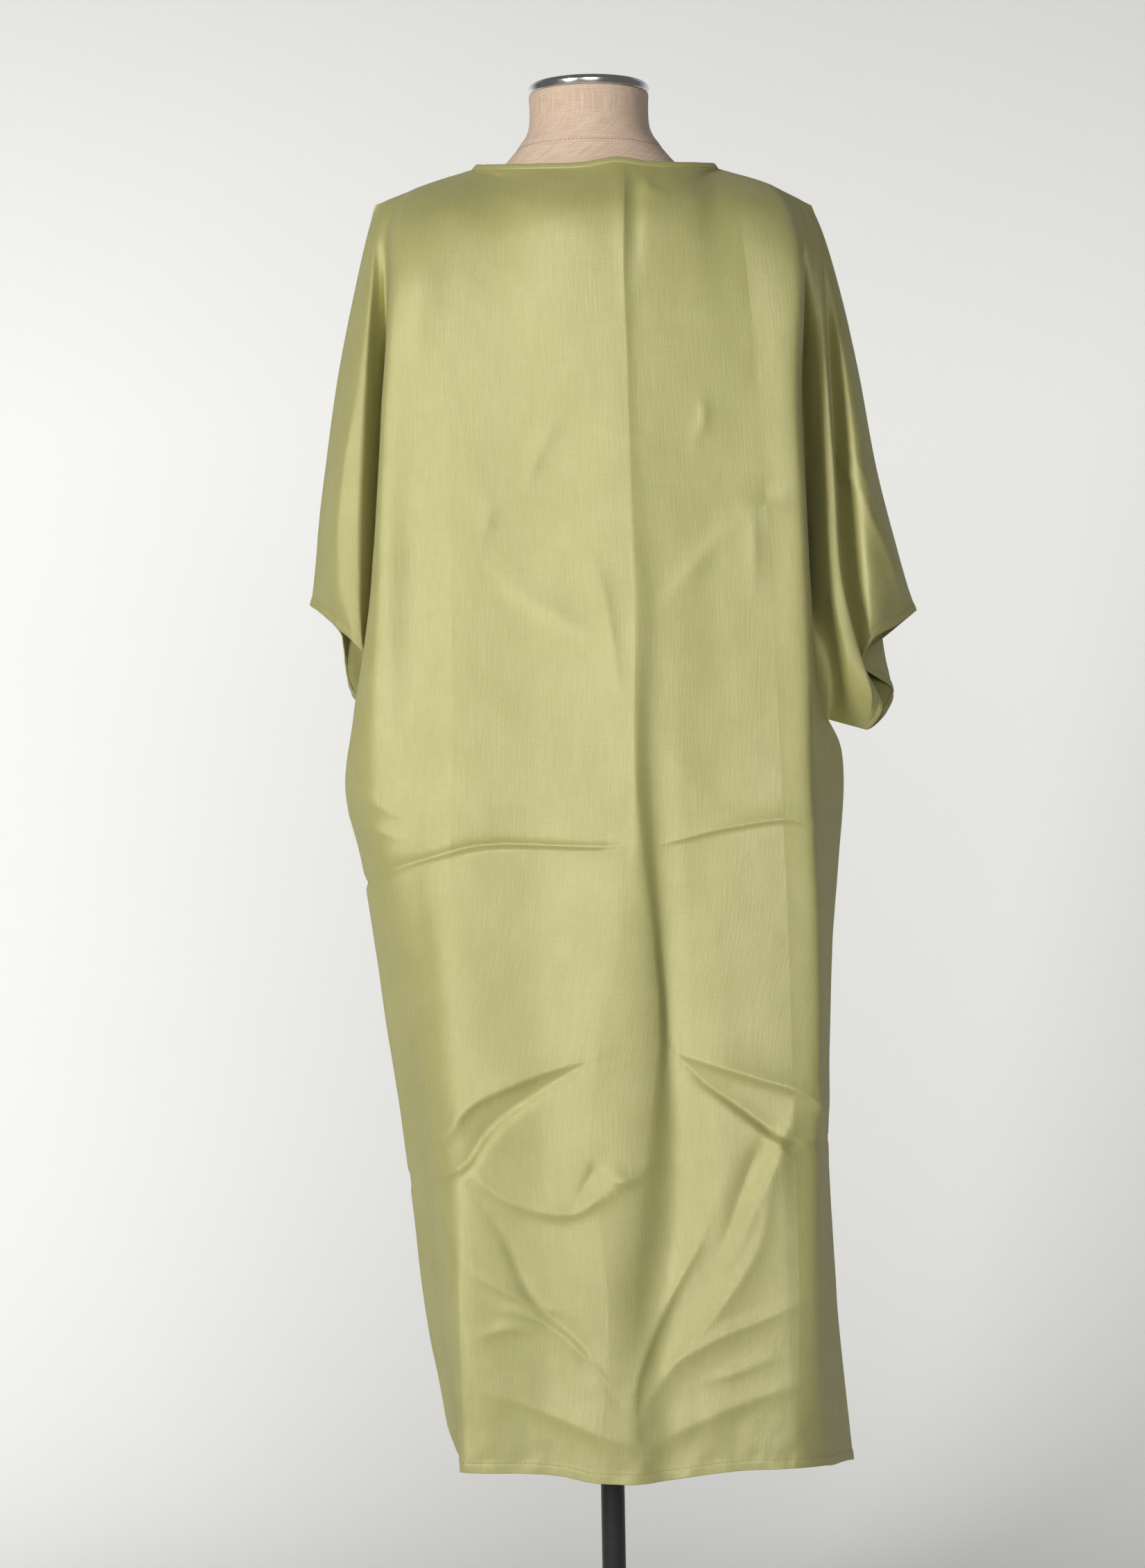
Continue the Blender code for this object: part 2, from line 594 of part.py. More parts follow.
def vertex_normals(points, faces):
    """At each point the direction out of the cloth, and how far in its wall goes there."""
    normal = np.cross(points[faces[:, 2]] - points[faces[:, 0]], points[faces[:, 3]] - points[faces[:, 1]])
    normal /= np.linalg.norm(normal, axis=1, keepdims=True)
    total, count = np.zeros_like(points), np.zeros(len(points))
    for corner in range(4):
        np.add.at(total, faces[:, corner], normal)
        np.add.at(count, faces[:, corner], 1)
    length = np.linalg.norm(total, axis=1)
    return total / length[:, None], WALL / np.maximum(length / count, LEAST_MITRE)


def seam_inward(points, side):
    """At each point of a seam, the direction into the hollow: square to the seam, across the dress."""
    run = np.diff(points, axis=0)
    run /= np.linalg.norm(run, axis=1, keepdims=True)
    tangent = np.vstack([run[:1], run[:-1] + run[1:], run[-1:]])
    flat = np.stack([-tangent[:, 2], np.zeros(len(points)), tangent[:, 0]], axis=1)
    if side == "right":
        flat = -flat
    return flat / np.linalg.norm(flat, axis=1, keepdims=True)


def panel_wall(panel, grids):
    """The outer and inner points of a panel's wall, and the faces of its outer side."""
    points, faces = number_points(grids)
    if panel == "front":
        faces = faces[:, ::-1]
    normals, depths = vertex_normals(points, faces)
    steps = PANELS[panel]["steps"]
    grids["underarm"] = {
        side: column_of(steps, ends[0]) for side, ends in PANELS[panel]["underarm"].items()
    }
    grids["edges"] = {"left": grids["start"], "right": grids["start"] + len(grids["below"]) - 1}
    away = np.array([0.0, -1.0 if panel == "back" else 1.0, 0.0])
    inner = points - normals * depths[:, None]
    outer = points.copy()
    for side in ("left", "right"):
        for seam in seam_rows(grids, side):
            inward = seam_inward(points[seam], side)
            run = np.gradient(points[seam], axis=0)
            run /= np.linalg.norm(run, axis=1, keepdims=True)
            back_off = away - (run @ away)[:, None] * run
            back_off *= SEAM_GAP / 2 / np.linalg.norm(back_off, axis=1, keepdims=True)
            outer[seam] = points[seam] + back_off
            inner[seam] = points[seam] + back_off + inward * WALL
        armpit = grids["ids"][(grids["edges"][side], grids["above"].shape[1] - 1)]
        into, lean, up = ARMPIT_STEP
        inner[armpit] = outer[armpit] + (into if side == "left" else -into, -lean * away[1], up)
    grids["wall"] = (outer, inner)
    return outer, inner, faces


def diagonal(points, faces, first, second):
    return np.linalg.norm(points[faces[:, first]] - points[faces[:, second]], axis=1)


def wall_mesh(name, outer, inner, faces):
    """A closed wall between two like surfaces, given in centimetres."""
    count = len(outer)
    turned = np.where(diagonal(outer, faces, 0, 2) > diagonal(outer, faces, 1, 3), 1, 0)
    corners = np.stack([np.roll(face, -turn) for face, turn in zip(faces, turned)])
    triangles = np.vstack([corners[:, [0, 1, 2]], corners[:, [0, 2, 3]]])
    edges = {(int(a), int(b)) for face in faces for a, b in zip(face, np.roll(face, -1))}
    shell = [tuple(face) for face in np.vstack([triangles, triangles[:, ::-1] + count])]
    shell += [(b, a, a + count, b + count) for a, b in sorted(edges) if (b, a) not in edges]
    mesh = bpy.data.meshes.new(name)
    mesh.from_pydata([tuple(p) for p in np.vstack([outer, inner]) * CM], [], shell)
    mesh.validate()
    return mesh


def binding_mesh(name, panels):
    """A narrow ring along the neck edge of both panels, standing on their outer and inner points."""
    sides = {}
    for panel in ("back", "front"):
        grids = panels[panel]
        first, last = grids["neck"]
        ids = [grids["ids"][(column, 0)] for column in range(first, last + 1)]
        sides[panel] = [surface[ids if panel == "back" else ids[::-1]] for surface in grids["wall"]]
    outer, inner = [
        np.vstack([(back[:1] + front[-1:]) / 2, back[1:-1], (back[-1:] + front[:1]) / 2, front[1:-1]])
        for back, front in zip(sides["back"], sides["front"])
    ]
    out = outer - inner
    out /= np.linalg.norm(out, axis=1, keepdims=True)
    up = np.cross(out, np.roll(outer, -1, axis=0) - np.roll(outer, 1, axis=0))
    up /= np.linalg.norm(up, axis=1, keepdims=True)
    up = np.roll(up, -1, axis=0) + 2 * up + np.roll(up, 1, axis=0)
    up /= np.linalg.norm(up, axis=1, keepdims=True)
    bottom, top = up * SEAM_GAP, up * (SEAM_GAP + BINDING_WIDTH)
    proud = out * (BINDING_WALL - WALL) / 2
    rings = [outer + bottom + proud, outer + top + proud, inner + top - proud, inner + bottom - proud]
    count = len(outer)
    faces = [
        (ring * count + (i + 1) % count, (ring + 1) % 4 * count + (i + 1) % count,
         (ring + 1) % 4 * count + i, ring * count + i)
        for ring in range(4)
        for i in range(count)
    ]
    mesh = bpy.data.meshes.new(name)
    mesh.from_pydata([tuple(p) for p in np.vstack(rings) * CM], [], faces)
    mesh.validate()
    return mesh


def form_mesh(name):
    """The padded torso and neck, as rings from the bottom up."""
    angles = np.arange(FORM_SEGMENTS) * 2 * math.pi / FORM_SEGMENTS
    rings = []
    for height, half, back, front, squareness in FORM_SECTIONS:
        side = np.sign(np.cos(angles)) * np.abs(np.cos(angles)) ** (2 / squareness)
        depth = np.sign(np.sin(angles)) * np.abs(np.sin(angles)) ** (2 / squareness)
        reach = np.where(depth < 0, back, front) * depth
        rings.append(np.stack([half * side, reach, np.full(FORM_SEGMENTS, height)], axis=1))
    count = FORM_SEGMENTS
    faces = [
        (ring * count + i, ring * count + (i + 1) % count,
         (ring + 1) * count + (i + 1) % count, (ring + 1) * count + i)
        for ring in range(len(rings) - 1)
        for i in range(count)
    ]
    faces.append(tuple(reversed(range(count))))
    faces.append(tuple((len(rings) - 1) * count + i for i in range(count)))
    mesh = bpy.data.meshes.new(name)
    mesh.from_pydata([tuple(p) for p in np.vstack(rings) * CM], [], faces)
    mesh.validate()
    return mesh


def turned_object(name, profile, collection, material):
    """A solid of revolution. The profile runs down its outer side, in centimetres."""
    mesh = bpy.data.meshes.new(name)
    points = [(radius * CM, 0.0, height * CM) for radius, height in profile]
    mesh.from_pydata(points, [(i, i + 1) for i in range(len(points) - 1)], [])
    item = bpy.data.objects.new(name, mesh)
    screw = item.modifiers.new("Turn", "SCREW")
    screw.steps = screw.render_steps = TURN_STEPS
    screw.use_merge_vertices = True
    screw.merge_threshold = 0.0001
    return finish(item, collection, material)


def make_material(name, colour, roughness, metallic=0.0, sheen=0.0):
    material = bpy.data.materials.new(name)
    material.use_nodes = True
    shader = material.node_tree.nodes["Principled BSDF"]
    shader.inputs["Base Color"].default_value = (*colour, 1.0)
    shader.inputs["Roughness"].default_value = roughness
    shader.inputs["Metallic"].default_value = metallic
    shader.inputs["Sheen Weight"].default_value = sheen
    return material


def finish(item, collection, material):
    item.data.materials.append(material)
    collection.objects.link(item)
    item.data.shade_smooth()
    return item


def make_panels(collection):
    satin = make_material("sage_satin", (0.44, 0.45, 0.22), 0.38, sheen=0.2)
    binding = make_material("satin_binding", (0.42, 0.43, 0.20), 0.42, sheen=0.2)
    lines = {panel: fold_lines(panel) for panel in PANELS}
    grids = {panel: panel_grids(panel, lines) for panel in PANELS}
    for panel, grid in grids.items():
        outer, inner, faces = panel_wall(panel, grid)
        name = panel + "_panel"
        finish(bpy.data.objects.new(name, wall_mesh(name, outer, inner, faces)), collection, satin)
    ring = binding_mesh("neck_binding", grids)
    finish(bpy.data.objects.new("neck_binding", ring), collection, binding)


def make_form(collection):
    linen = make_material("natural_linen", (0.55, 0.42, 0.32), 0.85)
    finish(bpy.data.objects.new("dress_form", form_mesh("dress_form")), collection, linen)


def make_stand(collection):
    chrome = make_material("chrome", (0.75, 0.75, 0.76), 0.12, metallic=1.0)
    steel = make_material("black_steel", (0.02, 0.02, 0.022), 0.4)
    cap_bottom = FORM_SECTIONS[-1][0] + SEAM_GAP
    cap_top = cap_bottom + CAP_HEIGHT
    cap = [
        (0.0, cap_top - 0.1),
        (CAP_RADIUS - 0.9, cap_top - 0.1),
        (CAP_RADIUS - 0.6, cap_top),
        (CAP_RADIUS - 0.2, cap_top - 0.08),
        (CAP_RADIUS, cap_top - 0.4),
        (CAP_RADIUS - 0.12, cap_bottom + 0.08),
        (CAP_RADIUS - 0.4, cap_bottom),
        (0.0, cap_bottom),
    ]
    turned_object("neck_cap", cap, collection, chrome)
    form_bottom = FORM_SECTIONS[0][0] - SEAM_GAP
    collar_top = BASE_THICKNESS + COLLAR_HEIGHT
    pole = [
        (0.0, form_bottom),
        (POLE_RADIUS, form_bottom),
        (POLE_RADIUS, collar_top + SEAM_GAP),
        (0.0, collar_top + SEAM_GAP),
    ]
    turned_object("pole", pole, collection, steel)
    base = [
        (0.0, collar_top),
        (POLE_RADIUS + 0.5, collar_top),
        (COLLAR_RADIUS - 0.2, collar_top - 0.5),
        (COLLAR_RADIUS, BASE_THICKNESS + 0.4),
        (COLLAR_RADIUS + 0.5, BASE_THICKNESS),
        (BASE_RADIUS - 0.5, BASE_THICKNESS),
        (BASE_RADIUS, BASE_THICKNESS - 0.4),
        (BASE_RADIUS, 0.15),
        (BASE_RADIUS - 0.15, 0.0),
        (0.0, 0.0),
    ]
    turned_object("base", base, collection, steel)


def main():
    for item in list(bpy.data.objects):
        bpy.data.objects.remove(item)
    collection = bpy.data.collections.new("midi_dress_on_form")
    bpy.context.scene.collection.children.link(collection)
    make_panels(collection)
    make_form(collection)
    make_stand(collection)


main()
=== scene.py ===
import math

import bpy
import numpy as np
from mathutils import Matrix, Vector, kdtree, noise


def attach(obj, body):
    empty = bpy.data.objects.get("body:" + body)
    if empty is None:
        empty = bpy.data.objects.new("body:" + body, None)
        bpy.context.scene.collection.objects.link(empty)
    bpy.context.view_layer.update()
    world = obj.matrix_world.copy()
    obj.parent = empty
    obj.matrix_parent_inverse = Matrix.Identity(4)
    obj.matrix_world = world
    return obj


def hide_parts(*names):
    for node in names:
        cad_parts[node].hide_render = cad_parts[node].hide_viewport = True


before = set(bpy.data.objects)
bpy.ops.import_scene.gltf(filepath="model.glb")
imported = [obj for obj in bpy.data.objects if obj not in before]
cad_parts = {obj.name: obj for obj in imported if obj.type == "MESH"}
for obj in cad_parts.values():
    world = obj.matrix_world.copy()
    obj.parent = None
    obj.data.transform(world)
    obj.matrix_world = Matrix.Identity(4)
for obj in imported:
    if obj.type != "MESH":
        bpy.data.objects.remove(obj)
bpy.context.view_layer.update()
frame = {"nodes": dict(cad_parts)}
cm = 0.01
print("frame loaded:", ", ".join(frame["nodes"]))

# Shoulder seams, from the shoulder point up to the neck corner: across, depth, height.
shoulderSeam = {
    "left": ((-20.0, 0.0, 146.1), (-15.4, 0.0, 147.8), (-10.8, 0.0, 149.3)),
    "right": ((20.5, 0.0, 145.4), (16.2, 0.0, 147.5), (11.8, 0.0, 149.0)),
}
# Underarm seams, from the body out to the sleeve hem: across, depth, height.
underarmSeam = {
    "left": ((-20.2, -0.8, 99.3), (-21.1, -0.4, 99.3), (-21.9, 0.3, 99.6)),
    "right": ((20.9, -4.3, 97.6), (22.5, -5.0, 97.1), (24.2, -5.2, 96.6)),
}
# The neck edge of the panels, an oval: how far it reaches and how high it is at its middle.
neckMiddle = 0.5
neckHalfWidth = 11.3
neckShape = {
    "back": {"depth": -7.6, "height": 147.9, "rise": 0.5},
    "front": {"depth": 8.2, "height": 144.9, "rise": 0.0},
}
risePlace = 2.4  # where the centre fold lifts the neck edge, and how wide the lift is
riseWidth = 2.2

# Fold lines of the sleeves. start: place on the shoulder seam, 0 at the shoulder point and
# 1 at the neck. across and depth are read at sleeveHeights. via and end: across, depth, height.
sleeveHeights = (143, 138, 130, 120, 110)
backLeftSleeve = {
    "overarm": {
        "start": 0.0,
        "across": (-20.8, -22.0, -23.7, -25.2, -26.4),
        "depth": (0.0, 0.0, 0.0, 0.0, 0.0),
        "end": (-26.6, 0.0, 109.1),
    },
    "crest": {
        "start": 0.12,
        "across": (-20.4, -21.1, -22.2, -23.2, -23.9),
        "depth": (-2.0, -3.5, -5.2, -6.4, -6.4),
        "end": (-23.6, -5.4, 106.6),
    },
    "inner": {
        "start": 0.2,
        "across": (-19.8, -20.2, -20.8, -21.4, -21.8),
        "depth": (-3.0, -5.0, -6.6, -7.4, -7.5),
        "end": (-21.4, -6.8, 104.3),
    },
    "wall": {
        "start": 0.27,
        "across": (-19.3, -19.4, -19.7, -20.1, -20.5),
        "depth": (-3.2, -4.2, -3.8, -3.6, -3.8),
        "via": ((-21.15, -4.0, 103.5),),
        "end": underarmSeam["left"][2],
    },
    "trough": {
        "start": 0.34,
        "across": (-18.8, -18.9, -19.0, -19.2, -19.5),
        "depth": (-3.6, -4.0, -2.6, -2.0, -2.2),
        "via": ((-19.65, -2.0, 104.0),),
        "end": underarmSeam["left"][0],
    },
}
backRightSleeve = {
    "sideEdge": {
        "start": 0.36,
        "across": (19.1, 19.2, 19.0, 19.2, 19.3),
        "depth": (-4.4, -4.8, -3.4, -2.8, -3.2),
        "via": ((19.7, -6.0, 104.0),),
        "end": (20.3, -6.4, 98.2),
    },
    "trough": {
        "start": 0.3,
        "across": (19.5, 19.8, 19.9, 20.1, 20.2),
        "depth": (-3.7, -5.1, -5.6, -6.1, -6.6),
        "via": ((20.8, -5.9, 104.0), (21.2, -5.4, 100.6)),
        "end": underarmSeam["right"][0],
    },
    "lobe": {
        "start": 0.24,
        "across": (19.9, 20.3, 20.5, 20.8, 21.2),
        "depth": (-3.2, -5.0, -6.7, -7.9, -8.7),
        "via": ((22.4, -8.8, 103.0),),
        "end": underarmSeam["right"][1],
    },
    "pouch": {
        "start": 0.19,
        "across": (20.2, 20.8, 21.0, 21.4, 21.9),
        "depth": (-2.8, -4.8, -6.9, -8.1, -8.8),
        "via": ((23.4, -8.9, 103.5), (24.5, -8.2, 99.8)),
        "end": underarmSeam["right"][2],
    },
    "lobeEdge": {
        "start": 0.14,
        "across": (20.6, 21.1, 21.3, 21.7, 22.2),
        "depth": (-2.3, -4.2, -6.3, -7.4, -7.9),
        "via": ((23.4, -7.9, 103.6), (24.7, -7.6, 100.3)),
        "end": (25.6, -6.4, 98.6),
    },
    "secondTrough": {
        "start": 0.1,
        "across": (20.8, 21.3, 21.6, 22.0, 22.5),
        "depth": (-1.6, -2.7, -3.2, -3.6, -4.0),
        "end": (24.0, -4.8, 102.4),
    },
    "outerCrest": {
        "start": 0.06,
        "across": (21.0, 21.9, 22.9, 23.8, 24.6),
        "depth": (-1.1, -2.5, -4.6, -5.9, -6.4),
        "end": (24.9, -6.0, 104.7),
    },
    "outerSide": {
        "start": 0.03,
        "across": (21.3, 22.6, 24.1, 25.5, 27.2),
        "depth": (-0.7, -1.5, -2.8, -3.7, -3.8),
        "end": (27.4, -3.4, 106.2),
    },
    "overarm": {
        "start": 0.0,
        "across": (21.4, 22.8, 24.5, 26.2, 28.7),
        "depth": (0.0, 0.0, 0.0, 0.0, 0.0),
        "end": (29.5, 0.0, 107.6),
    },
}
frontLeftSleeve = {
    "overarm": backLeftSleeve["overarm"],
    "crest": {
        "start": 0.12,
        "across": (-20.4, -21.2, -22.3, -23.3, -24.0),
        "depth": (2.0, 3.6, 5.3, 6.4, 6.0),
        "end": (-24.0, 4.6, 106.4),
    },
    "lowerLoop": {
        "start": 0.2,
        "across": (-19.8, -20.3, -21.0, -21.9, -22.8),
        "depth": (3.0, 4.8, 6.4, 7.4, 7.2),
        "end": (-23.5, 4.0, 101.8),
    },
    "wall": {
        "start": 0.27,
        "across": (-19.3, -19.4, -19.8, -20.3, -20.8),
        "depth": (3.5, 5.2, 6.4, 6.8, 6.0),
        "via": ((-21.6, 4.0, 103.5),),
        "end": underarmSeam["left"][2],
    },
    "trough": {
        "start": 0.34,
        "across": (-18.8, -18.9, -19.0, -19.2, -19.5),
        "depth": (3.9, 5.4, 5.2, 4.4, 3.2),
        "via": ((-19.8, 1.6, 104.0),),
        "end": underarmSeam["left"][0],
    },
}
frontRightSleeve = {
    "trough": {
        "start": 0.3,
        "across": (19.4, 19.4, 19.3, 19.4, 19.8),
        "depth": (3.8, 5.4, 5.2, 4.0, 1.8),
        "via": ((20.3, -1.0, 104.0),),
        "end": underarmSeam["right"][0],
    },
    "wall": {
        "start": 0.19,
        "across": (20.2, 20.6, 21.0, 21.6, 22.6),
        "depth": (2.8, 5.0, 6.8, 6.8, 4.8),
        "via": ((23.6, 1.8, 103.0),),
        "end": underarmSeam["right"][2],
    },
    "foldCrest": {
        "start": 0.12,
        "across": (20.8, 21.8, 23.2, 24.7, 26.1),
        "depth": (2.2, 4.2, 5.8, 5.8, 3.8),
        "via": ((26.6, 2.0, 105.0),),
        "end": (27.3, 0.2, 100.2),
    },
    "foldValley": {
        "start": 0.06,
        "across": (21.1, 22.1, 23.1, 23.9, 24.4),
        "depth": (1.2, 2.0, 2.5, 1.9, 0.0),
        "end": (23.9, -3.0, 102.8),
    },
    "outerSide": {
        "start": 0.03,
        "across": (21.3, 22.6, 24.0, 25.5, 27.0),
        "depth": (0.7, 1.5, 2.6, 2.8, 2.0),
        "end": (26.8, 0.5, 105.4),
    },
    "overarm": backRightSleeve["overarm"],
}

# Fold lines of the body. start as above, or neck: how far across on the neck edge. across and
# depth are read at bodyHeights. hem: across, depth, height.
bodyHeights = (144, 138, 128, 118, 108, 98.5, 92, 85, 78, 70, 60, 45)
backBody = {
    "leftEdge": {
        "start": 0.42,
        "across": (-17.9, -18.2, -19.0, -19.7, -20.6, -22.3, -23.3, -21.9, -20.9, -19.9, -18.5, -17.0),
        "depth": (-5.2, -8.9, -10.0, -10.4, -10.2, -8.0, -5.8, -5.4, -5.2, -5.0, -4.8, -4.2),
        "via": ((-15.6, -3.9, 36.5), (-14.8, -3.8, 32.6)),
        "hem": (-13.5, -3.6, 29.8),
    },
    "leftCrest": {
        "start": 0.5,
        "across": (-17.5, -17.8, -18.5, -19.1, -19.5, -20.2, -20.6, -19.8, -18.9, -18.0, -17.0, -15.7),
        "depth": (-6.1, -9.8, -11.6, -12.2, -12.4, -11.8, -10.8, -9.9, -9.1, -8.5, -8.0, -7.7),
        "hem": (-13.7, -6.6, 30.2),
    },
    "leftTrough": {
        "start": 0.62,
        "across": (-15.8, -16.0, -16.2, -16.3, -16.4, -16.6, -16.8, -16.8, -16.4, -16.1, -15.5, -14.7),
        "depth": (-7.3, -10.9, -12.1, -12.3, -12.3, -12.2, -12.1, -11.9, -11.7, -11.5, -11.3, -11.0),
        "hem": (-13.6, -9.6, 30.6),
    },
    "leftRidge": {
        "start": 1.0,
        "top": ((-11.2, -3.3, 148.0),),
        "across": (-12.2, -12.6, -12.9, -13.0, -13.1, -13.2, -13.4, -13.6, -13.5, -13.2, -13.1, -13.4),
        "depth": (-8.5, -11.0, -12.4, -12.8, -13.0, -13.1, -13.1, -13.3, -13.5, -13.5, -13.4, -13.2),
        "hem": (-13.2, -12.2, 30.9),
    },
    "leftBack": {
        "neck": -5.6,
        "across": (-5.8, -5.8, -5.8, -5.8, -5.8, -5.7, -5.6, -5.6, -5.6, -5.6, -5.6, -5.6),
        "depth": (-10.2, -11.8, -12.7, -13.0, -13.2, -13.4, -13.5, -13.6, -13.8, -13.9, -13.8, -13.6),
        "hem": (-5.4, -12.9, 30.7),
    },
    "centreRidge": {
        "neck": 1.9,
        "across": (1.8, 1.8, 2.1, 2.4, 2.8, 2.5, 2.3, 2.0, 1.4, -0.5, -1.5, -0.2),
        "depth": (-10.7, -12.2, -13.2, -13.6, -13.9, -14.0, -14.1, -14.3, -14.5, -14.5, -14.2, -14.1),
        "hem": (-1.6, -13.5, 30.0),
    },
    "centreEdge": {
        "neck": 2.9,
        "across": (2.8, 2.7, 2.9, 3.0, 3.3, 3.0, 3.0, 3.5, 4.2, 4.6, 3.4, 2.0),
        "depth": (-10.75, -12.2, -13.15, -13.6, -13.95, -14.1, -14.2, -14.15, -14.0, -13.8, -13.9, -13.8),
        "hem": (2.2, -13.4, 29.8),
    },
    "centreValley": {
        "neck": 3.6,
        "across": (3.7, 3.6, 3.9, 4.4, 5.1, 4.6, 4.5, 4.8, 5.2, 5.5, 5.8, 5.0),
        "depth": (-10.5, -12.0, -12.95, -13.35, -13.5, -13.45, -13.35, -13.2, -13.0, -12.7, -12.6, -12.7),
        "hem": (4.8, -12.3, 29.9),
    },
    "rightRamp": {
        "neck": 4.8,
        "across": (5.2, 5.0, 5.6, 6.6, 7.4, 7.2, 7.2, 7.4, 7.6, 7.8, 8.2, 7.6),
        "depth": (-10.25, -11.8, -12.75, -13.1, -13.25, -13.25, -13.2, -13.1, -13.0, -12.95, -12.8, -12.7),
        "hem": (7.0, -12.3, 30.2),
    },
    "rightBack": {
        "neck": 8.0,
        "across": (9.2, 9.4, 9.8, 10.0, 10.2, 10.3, 10.4, 10.5, 10.6, 10.8, 10.8, 10.8),
        "depth": (
            -9.2, -11.1, -12.3, -12.65, -12.85, -12.95, -12.95, -12.95, -12.95, -13.0, -12.95, -12.85),
        "hem": (11.0, -12.2, 30.6),
    },
    "rightRidge": {
        "start": 1.0,
        "top": ((12.2, -3.3, 147.7),),
        "across": (13.2, 13.8, 14.4, 15.0, 15.5, 15.8, 16.0, 16.2, 16.4, 16.5, 16.6, 16.8),
        "depth": (-8.2, -10.5, -11.8, -12.2, -12.5, -12.6, -12.6, -12.5, -12.4, -12.3, -12.2, -12.1),
        "hem": (16.2, -11.4, 30.6),
    },
    "rightBrink": {
        "start": 0.5,
        "across": (17.6, 18.3, 17.9, 18.1, 18.4, 18.6, 18.7, 19.0, 19.2, 19.1, 18.7, 18.6),
        "depth": (-6.4, -9.8, -11.4, -12.0, -12.2, -12.2, -12.15, -12.0, -11.8, -11.6, -11.3, -11.0),
        "hem": (19.1, -9.0, 30.3),
    },
    "rightEdge": {
        "start": 0.44,
        "across": (18.3, 19.0, 18.5, 18.7, 19.0, 19.2, 19.3, 19.6, 19.8, 19.7, 19.3, 19.2),
        "depth": (-5.4, -8.9, -10.3, -10.9, -11.0, -10.9, -10.7, -10.4, -10.1, -9.8, -9.4, -9.0),
        "hem": (19.7, -7.9, 30.1),
    },
}
frontBody = {
    "leftEdge": {
        "start": 0.42,
        "across": (-17.9, -18.2, -18.9, -19.6, -20.2, -21.0, -21.3, -20.7, -19.8, -18.8, -17.4, -15.2),
        "depth": (5.2, 9.0, 11.0, 11.6, 11.2, 9.6, 8.4, 7.8, 7.4, 7.2, 7.0, 6.8),
        "hem": (-12.9, 6.6, 29.3),
    },
    "leftRidge": {
        "start": 1.0,
        "top": ((-11.3, 2.9, 147.7),),
        "across": (-12.2, -13.0, -13.8, -14.2, -14.4, -14.5, -14.4, -14.1, -13.6, -13.0, -12.4, -11.4),
        "depth": (8.0, 10.9, 13.8, 14.6, 14.6, 14.4, 14.4, 14.4, 14.2, 14.0, 13.6, 13.0),
        "hem": (-10.6, 12.4, 29.2),
    },
    "leftFront": {
        "neck": -6.4,
        "across": (-6.8, -6.8, -7.0, -7.0, -6.8, -6.6, -6.4, -6.2, -6.0, -5.8, -5.4, -5.0),
        "depth": (9.0, 12.0, 15.2, 15.9, 15.8, 15.6, 15.5, 15.6, 15.6, 15.4, 15.2, 14.8),
        "hem": (-4.6, 14.2, 29.0),
    },
    "centreFront": {
        "neck": 0.6,
        "across": (0.6, 0.6, 0.6, 0.6, 0.6, 0.6, 0.8, 0.9, 1.0, 1.2, 1.6, 2.0),
        "depth": (8.8, 11.4, 14.4, 14.9, 14.7, 14.4, 14.3, 14.3, 14.3, 14.4, 14.4, 14.2),
        "hem": (2.2, 13.8, 28.8),
    },
    "rightFront": {
        "neck": 7.4,
        "across": (7.8, 7.8, 8.0, 8.0, 7.9, 7.8, 7.8, 7.9, 8.1, 8.4, 8.8, 9.4),
        "depth": (9.0, 12.0, 15.2, 15.9, 15.8, 15.5, 15.4, 15.3, 15.2, 15.2, 15.0, 14.4),
        "hem": (9.8, 13.8, 28.8),
    },
    "rightRidge": {
        "start": 1.0,
        "top": ((12.2, 2.9, 147.4),),
        "across": (13.2, 13.8, 14.2, 14.4, 14.6, 14.8, 14.8, 14.8, 14.8, 14.8, 14.9, 15.4),
        "depth": (7.8, 10.7, 13.6, 14.4, 14.4, 14.2, 14.0, 13.8, 13.6, 13.2, 12.8, 12.0),
        "hem": (16.2, 11.0, 29.0),
    },
    "rightEdge": {
        "start": 0.44,
        "across": (18.3, 18.9, 18.7, 18.9, 19.2, 19.7, 20.0, 20.1, 20.0, 19.7, 19.2, 19.3),
        "depth": (5.4, 8.9, 11.0, 11.5, 11.0, 9.8, 8.8, 8.2, 7.9, 7.6, 7.2, 6.4),
        "hem": (20.2, 5.4, 29.2),
    },
}
# Below the sleeves: the side seams, and the fold between the right back edge and its seam.
sideHeights = (95.5, 92, 85, 78, 70, 60, 45)
sideFolds = {
    "leftSideSeam": {
        "across": (-21.3, -22.2, -21.3, -20.2, -19.0, -17.7, -15.6),
        "depth": (0.2, 0.8, 1.0, 1.0, 1.0, 1.2, 1.4),
        "hem": (-13.3, 1.5, 29.3),
    },
    "rightSideEdge": {
        "across": (20.8, 21.1, 21.0, 20.9, 20.6, 20.2, 20.5),
        "depth": (-6.2, -6.0, -5.4, -5.0, -4.6, -4.2, -4.0),
        "hem": (21.2, -3.6, 29.6),
    },
    "rightSideSeam": {
        "across": (21.9, 22.3, 21.8, 21.15, 20.4, 20.4, 20.9),
        "depth": (-3.9, -3.0, -1.8, -1.1, -0.7, -0.4, -0.2),
        "hem": (22.3, 0.0, 29.1),
    },
}
# Spaces between neighbouring fold lines, from the left overarm seam to the right one.
backSteps = (3, 2, 2, 2, 4, 1, 1, 2, 4, 4, 1, 2, 2, 2, 3, 3, 1, 3, 2, 2, 2, 2, 2, 2, 2, 3)
frontSteps = (3, 2, 2, 2, 4, 3, 3, 3, 3, 3, 3, 4, 4, 3, 2, 2, 3)

